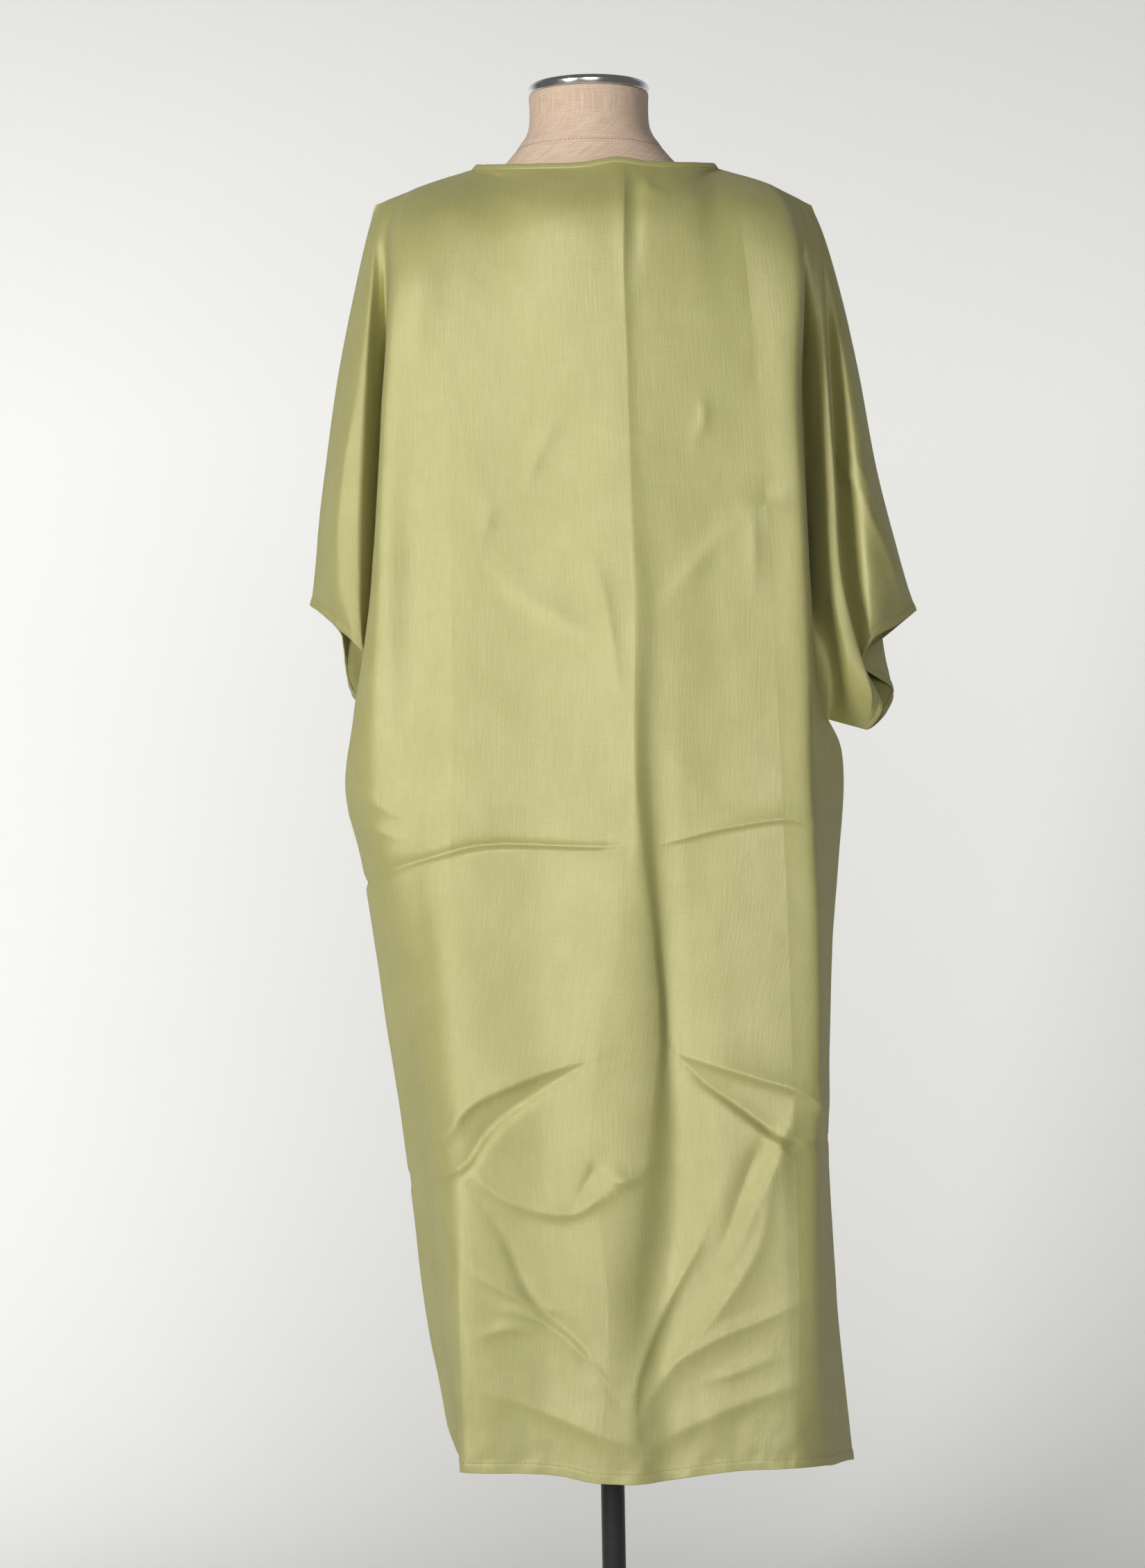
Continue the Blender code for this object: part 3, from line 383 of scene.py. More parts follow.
panelFolds = {
    "back": {
        "leftSleeve": backLeftSleeve,
        "body": backBody,
        "rightSleeve": backRightSleeve,
        "steps": backSteps,
        "underarm": {"left": (3, 4), "right": (21, 19)},
    },
    "front": {
        "leftSleeve": frontLeftSleeve,
        "body": frontBody,
        "rightSleeve": frontRightSleeve,
        "steps": frontSteps,
        "underarm": {"left": (3, 4), "right": (13, 12)},
    },
}

# The dress form, from the bottom up: height, half width, reach to the back and to the front,
# and how square its section is, where 2 is an oval.
formSections = (
    (78.0, 15.4, 9.6, 9.2, 2.3),
    (78.8, 16.3, 10.4, 9.9, 2.3),
    (84.0, 17.2, 11.2, 10.6, 2.3),
    (90.0, 17.6, 11.4, 10.8, 2.3),
    (97.0, 16.2, 9.8, 10.0, 2.3),
    (104.0, 13.4, 8.4, 9.2, 2.3),
    (109.0, 12.2, 8.0, 9.0, 2.3),
    (116.0, 13.2, 8.8, 10.2, 2.3),
    (122.0, 14.6, 9.6, 12.0, 2.3),
    (127.0, 15.8, 10.2, 12.8, 2.3),
    (132.0, 16.6, 10.4, 11.8, 2.3),
    (138.0, 17.4, 9.8, 9.6, 2.2),
    (142.0, 18.2, 8.2, 7.8, 2.0),
    (144.4, 17.6, 6.9, 6.6, 1.8),
    (146.0, 15.4, 5.8, 5.3, 1.6),
    (147.6, 11.4, 5.5, 4.9, 1.6),
    (149.0, 8.6, 5.5, 5.0, 1.7),
    (150.6, 7.0, 5.6, 5.4, 1.9),
    (152.6, 5.7, 5.5, 5.5, 2.0),
    (155.9, 5.5, 5.5, 5.5, 2.0),
)

# Creases pressed or fallen into the cloth, as seen from the back. left and right are how wide a
# crease is on either hand of its run, in cm; point is how pointed its top is, and 2 is round.
# points: across, height, and how far it stands out (+) or in (-), in mm.
backCreases = {
    "pressLeft": {"left": 0.5, "right": 0.3, "point": 1.05, "points": (
        (-23.0, 82.6, -1.6), (-21.1, 83.7, -3.5), (-18.3, 84.9, -4.3), (-14.5, 86.0, -4.3),
        (-11.7, 86.7, -4.2), (-8.9, 86.9, -4.2), (-4.7, 86.7, -3.6), (-0.5, 86.5, -3.1),
        (2.1, 86.6, -1.2))},
    "pressLeftLip": {"left": 0.4, "right": 2.0, "point": 1.4, "points": (
        (-21.0, 83.1, 0.6), (-14.5, 85.4, 1.2), (-8.9, 86.3, 1.2), (-4.7, 86.1, 1.1),
        (-0.5, 86.0, 0.6))},
    "pressRight": {"left": 0.8, "right": 0.3, "point": 1.05, "points": (
        (5.1, 86.6, 0.8), (7.2, 87.1, 2.6), (10.2, 87.8, 3.5), (13.2, 88.3, 3.6),
        (16.2, 88.6, 3.1), (19.1, 88.0, 1.6))},
    "leftLensTop": {"left": 0.4, "right": 1.6, "point": 1.1, "points": (
        (-1.7, 67.6, 1.2), (-5.7, 66.4, 3.9), (-8.9, 65.2, 5.1), (-11.7, 63.9, 5.5),
        (-12.9, 62.7, 5.5), (-13.7, 61.4, 4.7), (-16.1, 59.6, 3.5), (-17.6, 57.8, 1.6))},
    "leftLensFoot": {"left": 0.35, "right": 1.3, "point": 1.1, "points": (
        (-1.7, 67.6, -1.0), (-3.6, 66.3, -2.7), (-7.2, 64.0, -4.7), (-9.4, 62.5, -5.5),
        (-10.9, 61.0, -5.9), (-12.6, 58.6, -5.5), (-14.8, 57.2, -3.9), (-17.4, 55.9, -1.6))},
    "leftLensLip": {"left": 1.6, "right": 0.5, "point": 1.4, "points": (
        (-3.6, 65.7, 0.4), (-7.2, 63.4, 1.0), (-10.6, 60.4, 1.4), (-12.2, 58.0, 1.2),
        (-14.8, 56.6, 0.5))},
    "rightLensTop": {"left": 1.6, "right": 0.4, "point": 1.1, "points": (
        (6.3, 67.9, 1.2), (9.4, 66.9, 3.9), (13.6, 65.5, 5.1), (16.8, 64.4, 5.1),
        (18.9, 62.9, 3.9), (19.8, 60.9, 1.6))},
    "rightLensFoot": {"left": 1.3, "right": 0.35, "point": 1.1, "points": (
        (6.3, 67.9, -1.0), (8.5, 65.4, -3.1), (11.1, 63.5, -4.7), (13.6, 61.6, -5.5),
        (15.4, 60.2, -5.5), (17.8, 60.0, -3.5), (19.8, 59.0, -1.2))},
    "rightLensLip": {"left": 0.5, "right": 1.4, "point": 1.4, "points": (
        (8.2, 64.9, 0.4), (10.9, 62.9, 1.2), (13.4, 61.0, 1.6), (15.2, 59.6, 1.4))},
    "rightDrop": {"left": 1.6, "right": 0.6, "point": 1.2, "points": (
        (15.4, 60.2, 4.7), (14.6, 58.0, 6.2), (13.5, 55.7, 6.0), (12.3, 53.0, 4.7),
        (11.3, 50.7, 3.0), (10.0, 48.7, 1.0))},
    "rightDropTrough": {"left": 0.8, "right": 0.8, "point": 1.4, "points": (
        (13.6, 59.4, -2.0), (12.8, 57.6, -4.7), (11.9, 55.4, -4.3), (10.6, 52.0, -2.3),
        (9.4, 49.6, -0.7))},
    "rightVertical": {"left": 1.1, "right": 1.1, "point": 1.4, "points": (
        (15.5, 59.9, 1.6), (15.6, 55.5, 1.6), (15.6, 50.0, 1.2), (15.8, 42.0, 0.8),
        (16.0, 33.0, 0.4))},
    "lowMiddle": {"left": 0.5, "right": 1.2, "point": 1.1, "points": (
        (8.3, 51.4, 1.3), (6.6, 48.5, 4.0), (4.0, 43.3, 4.7), (2.1, 38.2, 3.0), (1.9, 33.5, 1.7))},
    "lowAcross": {"left": 0.9, "right": 0.5, "point": 1.1, "points": (
        (18.3, 46.2, 0.7), (13.3, 44.2, 2.6), (9.7, 42.8, 3.2), (6.8, 41.2, 3.0),
        (4.7, 39.9, 1.0))},
    "lowAcrossUnder": {"left": 0.8, "right": 0.5, "point": 1.2, "points": (
        (14.3, 40.8, 1.0), (11.1, 39.6, 2.3), (8.5, 38.8, 0.7))},
    "footLeft": {"left": 0.9, "right": 0.5, "point": 1.1, "points": (
        (-12.4, 58.2, 0.7), (-10.7, 56.4, 2.6), (-8.1, 54.8, 4.0), (-3.4, 54.0, 4.3),
        (-0.8, 55.4, 4.0), (1.2, 56.8, 1.7))},
    "footRise": {"left": 0.6, "right": 0.9, "point": 1.2, "points": (
        (-3.4, 54.0, -1.0), (-1.5, 57.5, -3.2), (-0.7, 58.8, -1.3))},
    "foot": {"left": 0.5, "right": 0.5, "point": 1.3, "points": (
        (-0.7, 58.8, 1.0), (1.2, 56.8, 4.3), (3.5, 57.9, 1.0))},
    "lowLeft": {"left": 0.9, "right": 0.5, "point": 1.1, "points": (
        (-12.1, 48.9, 1.0), (-9.3, 47.2, 3.2), (-5.4, 45.3, 1.3))},
    "lowLeftUnder": {"left": 0.9, "right": 0.6, "point": 1.1, "points": (
        (-10.1, 45.7, 1.0), (-7.5, 45.1, 3.0), (-5.2, 44.0, 3.2), (-2.6, 41.7, 3.0),
        (0.0, 39.2, 1.0))},
    "lowLeftTick": {"left": 0.5, "right": 0.5, "point": 1.2, "points": (
        (-11.4, 43.3, 1.0), (-9.3, 43.9, 2.6), (-7.7, 43.7, 0.7))},
    "lowShade": {"left": 2.8, "right": 2.4, "point": 2.0, "points": (
        (4.6, 58.0, -1.5), (4.8, 52.0, -4.6), (3.8, 46.0, -5.6), (3.0, 40.5, -3.8),
        (2.8, 35.0, -1.5))},
    "collarTick": {"left": 0.6, "right": 0.5, "point": 1.2, "points": (
        (-3.6, 124.1, 0.7), (-4.5, 122.7, 2.3), (-5.4, 121.0, 2.3), (-6.1, 119.1, 0.7))},
    "leftTick": {"left": 0.6, "right": 0.5, "point": 1.2, "points": (
        (-9.5, 116.4, 1.0), (-9.8, 115.5, 2.0), (-10.1, 114.7, 0.7))},
    "leftDrag": {"left": 1.2, "right": 0.8, "point": 1.3, "points": (
        (-8.9, 110.9, 1.0), (-6.5, 108.9, 3.0), (-3.9, 107.2, 3.0), (-1.2, 105.7, 1.0))},
    "rightTick": {"left": 0.7, "right": 0.6, "point": 1.2, "points": (
        (9.4, 126.0, 0.7), (9.6, 124.4, 2.6), (8.7, 122.6, 1.0))},
    "rightDrag": {"left": 1.3, "right": 0.8, "point": 1.2, "points": (
        (17.7, 117.8, 1.0), (15.8, 117.0, 3.0), (13.7, 116.4, 4.0), (12.4, 115.2, 3.6),
        (10.2, 113.1, 3.2), (8.1, 110.8, 2.6), (6.3, 108.7, 1.0))},
    "rightDragDrop": {"left": 0.8, "right": 0.8, "point": 1.2, "points": (
        (13.9, 116.2, 1.0), (13.9, 113.0, 2.3), (13.8, 109.2, 0.7))},
    "centreLine": {"left": 0.7, "right": 0.7, "point": 1.2, "points": (
        (-0.6, 112.0, 0.7), (0.4, 109.1, 2.3), (1.0, 105.5, 2.6), (1.6, 100.7, 1.0))},
    "leftCrest": {"left": 1.8, "right": 1.8, "point": 1.5, "points": (
        (-14.5, 85.4, 0.4), (-13.1, 79.4, 1.1), (-13.1, 70.9, 1.3), (-12.9, 62.3, 0.7),
        (-13.0, 50.5, 1.1), (-13.3, 45.2, 1.1), (-13.1, 32.1, 0.7))},
    "fanLeft": {"left": 1.0, "right": 0.5, "point": 1.1, "points": (
        (-12.4, 56.6, -1.0), (-9.4, 52.0, -3.1), (-7.0, 46.5, -3.9), (-2.5, 42.0, -3.4),
        (0.5, 37.0, -1.3))},
    "fanRight": {"left": 1.5, "right": 0.6, "point": 1.1, "points": (
        (14.6, 57.5, 1.0), (13.2, 51.0, 3.1), (9.4, 45.0, 4.2), (5.6, 40.5, 4.2),
        (3.2, 37.0, 1.6))},
    "hemRippleLeft": {"left": 1.4, "right": 0.8, "point": 1.3, "points": (
        (-11.6, 38.4, 0.8), (-6.4, 36.6, 2.6), (-1.4, 34.4, 2.3), (3.0, 33.0, 0.8))},
    "hemRippleRight": {"left": 0.8, "right": 1.4, "point": 1.3, "points": (
        (18.4, 38.8, 0.8), (12.4, 37.0, 2.6), (7.4, 35.0, 2.6), (3.4, 33.0, 0.8))},
    "edgeWrinkleOne": {"left": 0.5, "right": 0.4, "point": 1.2, "points": (
        (-22.4, 92.4, 0.8), (-20.2, 90.6, 2.3), (-18.0, 89.4, 0.8))},
    "edgeWrinkleTwo": {"left": 0.5, "right": 0.4, "point": 1.2, "points": (
        (-22.8, 89.6, 0.8), (-20.6, 88.4, 2.1), (-18.2, 87.4, 0.8))},
    "rightRim": {"left": 0.3, "right": 0.35, "point": 1.2, "points": (
        (19.0, 100.0, -1.0), (19.2, 92.0, -3.0), (19.5, 85.0, -3.2), (19.6, 78.0, -3.2),
        (19.6, 71.0, -2.2), (19.3, 64.0, -0.8))},
    "neckPress": {"left": 0.3, "right": 0.3, "point": 1.1, "points": (
        (3.05, 147.0, 0.4), (2.9, 143.0, 0.8), (2.76, 137.7, 0.8), (2.9, 130.0, 0.7),
        (3.0, 122.0, 0.5), (3.2, 112.0, 0.3))},
    "neckHollow": {"left": 0.7, "right": 0.9, "point": 2.0, "points": (
        (3.9, 146.6, -1.02), (4.0, 144.8, -3.4), (3.9, 142.5, -2.04), (3.7, 138.0, -0.51))},
    "neckPuff": {"left": 0.5, "right": 0.6, "point": 1.8, "points": (
        (4.9, 146.6, 0.68), (5.3, 145.6, 2.04), (6.4, 145.2, 1.02))},
}
backRightSleeveCreases = {
    "lobeUpper": {"left": 0.5, "right": 0.5, "point": 1.2, "points": (
        (22.4, 121.4, 0.9), (23.8, 118.9, 3.3), (24.8, 115.7, 3.9), (25.9, 113.4, 3.9),
        (27.2, 109.9, 3.0), (27.8, 108.0, 1.2))},
    "lobeLower": {"left": 0.5, "right": 0.5, "point": 1.2, "points": (
        (23.3, 122.3, 0.9), (24.3, 119.3, 2.7), (25.9, 115.7, 3.3), (27.3, 111.6, 3.0),
        (28.6, 108.5, 1.2))},
}
backLeftSleeveCreases = {
    "drag": {"left": 1.0, "right": 0.7, "point": 1.2, "points": (
        (-21.4, 128.0, 0.8), (-22.6, 122.0, 2.4), (-23.4, 115.0, 2.1), (-23.4, 109.5, 0.8))},
    "dragUnder": {"left": 0.7, "right": 0.9, "point": 1.2, "points": (
        (-24.9, 121.0, 0.6), (-25.0, 116.0, 2.0), (-24.6, 111.5, 0.8))},
}
# The front is hidden: it was pressed and has fallen like the back.
frontCreases = {
    "pressLeft": {"left": 0.7, "right": 1.1, "point": 1.1, "points": (
        (-22.0, 83.2, -0.8), (-16.0, 85.6, -2.0), (-9.0, 86.8, -2.2), (-2.0, 86.6, -1.8),
        (4.0, 87.0, -1.2), (11.0, 88.0, -1.6), (19.5, 88.2, -0.6))},
    "pressLip": {"left": 0.6, "right": 1.8, "point": 1.5, "points": (
        (-18.0, 84.0, 0.6), (-9.0, 85.8, 1.0), (-2.0, 85.6, 0.9), (8.0, 86.2, 0.6))},
    "leftLens": {"left": 1.0, "right": 1.1, "point": 2.2, "points": (
        (-15.5, 60.0, -0.6), (-11.0, 63.0, -2.0), (-6.0, 65.6, -1.8), (-1.0, 67.0, -0.4))},
    "leftLensTop": {"left": 0.5, "right": 1.0, "point": 1.2, "points": (
        (-15.0, 61.6, 0.3), (-11.0, 64.6, 1.1), (-6.0, 67.0, 1.0), (-1.0, 68.2, 0.3))},
    "rightLens": {"left": 1.1, "right": 1.0, "point": 2.2, "points": (
        (4.0, 67.2, -0.4), (9.0, 65.4, -1.8), (14.0, 62.4, -1.9), (17.5, 59.8, -0.5))},
    "rightLensFoot": {"left": 0.5, "right": 1.0, "point": 1.2, "points": (
        (7.0, 64.9, 0.3), (12.0, 61.9, 1.1), (16.8, 58.2, 0.4))},
    "centreFall": {"left": 1.6, "right": 1.4, "point": 1.5, "points": (
        (1.0, 84.0, 0.4), (1.2, 72.0, 1.4), (1.6, 58.0, 1.2), (2.1, 40.0, 1.5), (2.2, 31.0, 0.8))},
    "leftFall": {"left": 1.5, "right": 1.5, "point": 1.5, "points": (
        (-9.6, 84.0, 0.4), (-9.0, 72.0, -1.2), (-8.4, 52.0, -1.4), (-7.8, 32.0, -0.8))},
    "rightFall": {"left": 1.6, "right": 1.2, "point": 1.4, "points": (
        (11.6, 84.0, 0.4), (11.8, 70.0, -1.3), (12.2, 50.0, -1.5), (12.9, 31.0, -0.9))},
    "bustDragLeft": {"left": 1.0, "right": 1.3, "point": 1.3, "points": (
        (-17.0, 118.5, 0.3), (-12.6, 117.0, 1.0), (-8.4, 113.4, 1.0), (-5.4, 109.0, 0.3))},
    "bustDragRight": {"left": 1.3, "right": 1.0, "point": 1.3, "points": (
        (17.6, 118.0, 0.3), (13.4, 116.2, 1.0), (9.4, 112.6, 0.9), (6.6, 108.2, 0.3))},
    "lowLeft": {"left": 0.9, "right": 0.5, "point": 1.1, "points": (
        (-10.5, 50.4, 0.3), (-6.0, 46.6, 1.0), (-1.8, 42.2, 0.4))},
    "lowRight": {"left": 0.9, "right": 0.5, "point": 1.1, "points": (
        (14.6, 47.8, 0.3), (9.8, 44.4, 1.0), (5.6, 40.2, 0.4))},
    "neckPress": {"left": 0.35, "right": 0.35, "point": 1.2, "points": (
        (0.6, 144.9, 0.3), (0.6, 140.0, 0.6), (0.6, 130.0, 0.4), (0.6, 120.0, 0.2))},
}

mirrorDepth = np.array([1.0, -1.0, 1.0])
underarmHeight = 98.5
# Rows near a hem's edge, as distances up from it.
hemRows = np.array([0.0, 0.08, 0.25, 0.45, 0.62, 0.76, 0.86, 0.96, 1.1, 1.35, 1.7])


def smoothStep(value):
    value = np.clip(value, 0.0, 1.0)
    return value * value * (3 - 2 * value)


def splineColumns(lines, steps):
    # lines is [line, row, xyz]; the first and last only steer the ends
    columns = []
    for index, count in enumerate(steps):
        a, b, c, d = lines[index : index + 4]
        ab = np.sqrt(np.linalg.norm(b - a, axis=1, keepdims=True)) + 1e-6
        bc = np.sqrt(np.linalg.norm(c - b, axis=1, keepdims=True)) + 1e-6
        cd = np.sqrt(np.linalg.norm(d - c, axis=1, keepdims=True)) + 1e-6
        leave = bc * ((b - a) / ab - (c - a) / (ab + bc) + (c - b) / bc)
        reach = bc * ((c - b) / bc - (d - b) / (bc + cd) + (d - c) / cd)
        for t in np.arange(count) / count:
            columns.append(
                (2 * t**3 - 3 * t**2 + 1) * b
                + (t**3 - 2 * t**2 + t) * leave
                + (3 * t**2 - 2 * t**3) * c
                + (t**3 - t**2) * reach
            )
    columns.append(lines[-2])
    return np.stack(columns)


def smoothLine(points, overShoulder=False, between=10):
    points = np.asarray(points, float)
    lead = points[1] * mirrorDepth if overShoulder else 2 * points[0] - points[1]
    tail = 2 * points[-1] - points[-2]
    steered = np.vstack([lead, points, tail])[:, None, :]
    return splineColumns(steered, [between] * (len(points) - 1))[:, 0, :]


def pointsAlong(line, shares=None, hemEnd=False):
    # hemEnd keeps the last rows at hemRows' distances from the edge
    length = np.concatenate([[0.0], np.cumsum(np.linalg.norm(np.diff(line, axis=0), axis=1))])
    if hemEnd:
        wanted = np.concatenate([shares * (length[-1] - hemRows[-1]), length[-1] - hemRows[-2::-1]])
    else:
        wanted = np.asarray(shares) * length[-1]
    return np.stack([np.interp(wanted, length, line[:, axis]) for axis in range(3)], axis=1)


def neckAngle(across):
    return math.acos((across - neckMiddle) / neckHalfWidth)


def neckPoint(angle, panel):
    across = neckMiddle + neckHalfWidth * math.cos(angle)
    swing = math.sin(angle)
    corner = shoulderSeam["right" if across > neckMiddle else "left"][-1]
    lift = neckShape[panel]["rise"] * math.exp(-(((across - risePlace) / riseWidth) ** 2))
    height = corner[2] + (neckShape[panel]["height"] - corner[2]) * swing + lift
    return (across, neckShape[panel]["depth"] * swing, height)


def foldRows(fold, heights):
    rows = list(fold.get("top", ()))
    rows += [tuple(row) for row in zip(fold["across"], fold["depth"], heights)]
    rows += list(fold.get("via", ()))
    rows.append(fold["end"] if "end" in fold else fold["hem"])
    return rows


def topPoint(fold, side, panel):
    if "neck" in fold:
        return neckPoint(neckAngle(fold["neck"]), panel)
    return tuple(pointsAlong(smoothLine(shoulderSeam[side]), [fold["start"]])[0])


def foldLines(panel, rows):
    # the fold lines above the underarm, sleeves included, and those of the body below it
    folds = panelFolds[panel]

    def sleeve(side):
        for fold in folds[side + "Sleeve"].values():
            points = [topPoint(fold, side, panel)] + foldRows(fold, sleeveHeights)
            yield pointsAlong(smoothLine(points, fold["start"] > 0), rows["above"], hemEnd=True)

    def sideLine(name, top):
        points = [top] + foldRows(sideFolds[name], sideHeights)
        return pointsAlong(smoothLine(points), rows["below"], hemEnd=True)

    upper = list(sleeve("left"))
    lower = [sideLine("leftSideSeam", underarmSeam["left"][0])]
    for name, fold in folds["body"].items():
        side = "left" if name.startswith("left") else "right"
        points = [topPoint(fold, side, panel)] + foldRows(fold, bodyHeights)
        line = pointsAlong(smoothLine(points, fold.get("start", 1.0) < 1), np.linspace(0, 1, 600))
        cut = int(np.argmax(line[:, 2] <= underarmHeight))
        upper.append(pointsAlong(line[: cut + 1], rows["above"], hemEnd=True))
        lower.append(pointsAlong(line[cut:], rows["below"], hemEnd=True))
    upper += list(sleeve("right"))
    if "sideEdge" in folds["rightSleeve"]:
        lower.append(sideLine("rightSideEdge", folds["rightSleeve"]["sideEdge"]["end"]))
    lower.append(sideLine("rightSideSeam", underarmSeam["right"][0]))
    return upper, lower


def spread(places, steps):
    inner = [
        start + (stop - start) * step / count
        for start, stop, count in zip(places, places[1:], steps)
        for step in range(count)
    ]
    return inner + [places[-1]]


def setEdges(above, panel, steps):
    # moves the top row onto the shoulder seams and the neck, and the underarm rows onto their seams,
    # and the rows near them along with it
    folds = panelFolds[panel]
    starts = [fold.get("start") for group in ("leftSleeve", "body", "rightSleeve")
              for fold in folds[group].values()]
    ridges = [index for index, start in enumerate(starts) if start == 1.0]
    neck = [sum(steps[:index]) for index in ridges]
    across = [fold["neck"] for fold in folds["body"].values() if "neck" in fold]
    angles = [math.pi] + [neckAngle(place) for place in across] + [0.0]
    top = above[:, 0].copy()
    top[neck[0] : neck[1] + 1] = [
        neckPoint(angle, panel) for angle in spread(angles, steps[ridges[0] : ridges[1]])
    ]
    top[: neck[0] + 1] = pointsAlong(
        smoothLine(shoulderSeam["left"]), spread(starts[: ridges[0] + 1], steps))
    top[neck[1] :] = pointsAlong(
        smoothLine(shoulderSeam["right"]), spread(starts[ridges[1] :], steps[ridges[1] :]))
    bottom = above[:, -1].copy()
    ranges = {}
    for side, (outer, inner) in folds["underarm"].items():
        first, last = sorted((sum(steps[:outer]), sum(steps[:inner])))
        seam = pointsAlong(smoothLine(underarmSeam[side]), np.linspace(0, 1, last - first + 1))
        bottom[first : last + 1] = seam if outer > inner else seam[::-1]
        ranges[side] = (first, last)
    down = np.linalg.norm(above - above[:, :1], axis=2)[:, :, None]
    up = np.linalg.norm(above - above[:, -1:], axis=2)[:, :, None]
    shift = (top - above[:, 0])[:, None] * np.exp(-((down / 1.5) ** 2))
    shift += (bottom - above[:, -1])[:, None] * np.exp(-((up / 1.2) ** 2))
    above += shift
    return neck, ranges


def panelGrid(panel, lines, finer):
    other = "front" if panel == "back" else "back"
    counts = panelFolds[panel]["steps"]
    steps = [count * finer for count in counts]
    upper, lower = lines[panel]
    above = splineColumns(np.stack([lines[other][0][1]] + upper + [lines[other][0][-2]]), steps)
    neck, ranges = setEdges(above, panel, steps)
    first = panelFolds[panel]["underarm"]["left"][1]
    below = splineColumns(
        np.stack([lines[other][1][1]] + lower + [lines[other][1][-2]]),
        steps[first : first + len(lower) - 1],
    )
    start = sum(steps[:first])
    gap = above[start : start + len(below), -1] - below[:, 0]
    down = np.linalg.norm(below - below[:, :1], axis=2)[:, :, None]
    below += gap[:, None] * np.exp(-((down / 1.5) ** 2))
    return {"above": above, "below": below, "start": start, "neck": neck, "ranges": ranges, "steps": steps}


def numberGrid(grid):
    above, below, start = grid["above"], grid["below"], grid["start"]
    columns, rows = above.shape[:2]
    upperIds = np.arange(columns * rows).reshape(columns, rows)
    lowerIds = columns * rows + np.arange(len(below) * (below.shape[1] - 1)).reshape(len(below), -1)
    lowerIds = np.hstack([upperIds[start : start + len(below), -1:], lowerIds])
    grid["upperIds"], grid["lowerIds"] = upperIds, lowerIds
    points = np.vstack([above.reshape(-1, 3), below[:, 1:].reshape(-1, 3)])
    faces = []
    for ids in (upperIds, lowerIds):
        corners = (ids[:-1, :-1], ids[:-1, 1:], ids[1:, 1:], ids[1:, :-1])
        faces.append(np.stack(corners, axis=2).reshape(-1, 4))
    return points, np.vstack(faces)


def vertexNormals(points, faces):
    normal = np.cross(points[faces[:, 2]] - points[faces[:, 0]], points[faces[:, 3]] - points[faces[:, 1]])
    normal /= np.linalg.norm(normal, axis=1, keepdims=True) + 1e-12
    total = np.zeros_like(points)
    for corner in range(4):
        np.add.at(total, faces[:, corner], normal)
    return total / (np.linalg.norm(total, axis=1, keepdims=True) + 1e-12)


def seamRuns(grid, side):
    # the two runs of points along one side's seams, as in the flat cut
    upper, lower = grid["upperIds"], grid["lowerIds"]
    first, last = grid["ranges"][side]
    if side == "left":
        shoulder = list(upper[grid["neck"][0] : 0 : -1, 0]) + list(upper[0])
        under = list(upper[first:last, -1]) + list(lower[0])
    else:
        shoulder = list(upper[grid["neck"][1] : -1, 0]) + list(upper[-1])
        under = list(upper[last:first:-1, -1]) + list(lower[-1])
    return shoulder, under


def hemRuns(grid):
    # grids of point numbers, each from a hem's edge inwards: both sleeve hems and the bottom hem
    upper, lower = grid["upperIds"], grid["lowerIds"]
    first, last = grid["ranges"]["left"][0], grid["ranges"]["right"][1]
    return upper[: first + 1, ::-1], upper[last:, ::-1], lower[:, ::-1]


def nearest(places, path):
    # distance from each place (x, z) to a path of (x, z, height), its side, and the height there
    best = np.full(len(places), 1e9)
    side, height = np.ones(len(places)), np.zeros(len(places))
    for a, b in zip(path[:-1], path[1:]):
        run = b[:2] - a[:2]
        length = max(float(run @ run), 1e-9)
        t = np.clip(((places - a[:2]) @ run) / length, 0, 1)
        off = places - a[:2] - t[:, None] * run
        distance = np.hypot(off[:, 0], off[:, 1])
        closer = distance < best
        best[closer] = distance[closer]
        side[closer] = np.sign(run[0] * off[closer, 1] - run[1] * off[closer, 0])
        height[closer] = (a[2] + (b[2] - a[2]) * t)[closer]
    return best, side, height


def creaseLift(points, creases):
    # creases are seen from the back, so across and height place them; a row's points are
    # (across, height, lift in mm), and left and right are its widths on either hand
    lift = np.zeros(len(points))
    places = points[:, [0, 2]]
    for crease in creases.values():
        knots = np.array(crease["points"], float)
        path = smoothLine(knots, between=6)
        reach = 4 * max(crease["left"], crease["right"])
        low, high = path[:, :2].min(axis=0) - reach, path[:, :2].max(axis=0) + reach
        near = np.nonzero(((places > low) & (places < high)).all(axis=1))[0]
        distance, side, height = nearest(places[near], path)
        width = np.where(side > 0, crease["left"], crease["right"])
        lift[near] += 0.1 * height * np.exp(-((distance / width) ** crease["point"]))
    return lift


def unevenness(points, layers):
    # layers: size in cm, height in cm, seed
    lift = np.zeros(len(points))
    for size, height, seed in layers:
        shift = Vector((seed * 7.1, seed * 3.3, seed * 1.7))
        lift += height * np.array([noise.noise(Vector(p) / size + shift) for p in points])
    return lift


def crowdedShares(count, crowds):
    # places from 0 to 1 along a fold line, closer together about each (place, width, extra)
    along = np.linspace(0, 1, 4000)
    density = np.ones_like(along)
    for place, width, extra in crowds:
        density += extra * np.exp(-(((along - place) / width) ** 2))
    total = np.concatenate([[0.0], np.cumsum((density[1:] + density[:-1]) / 2)])
    return np.interp(np.linspace(0, total[-1], count), total, along)


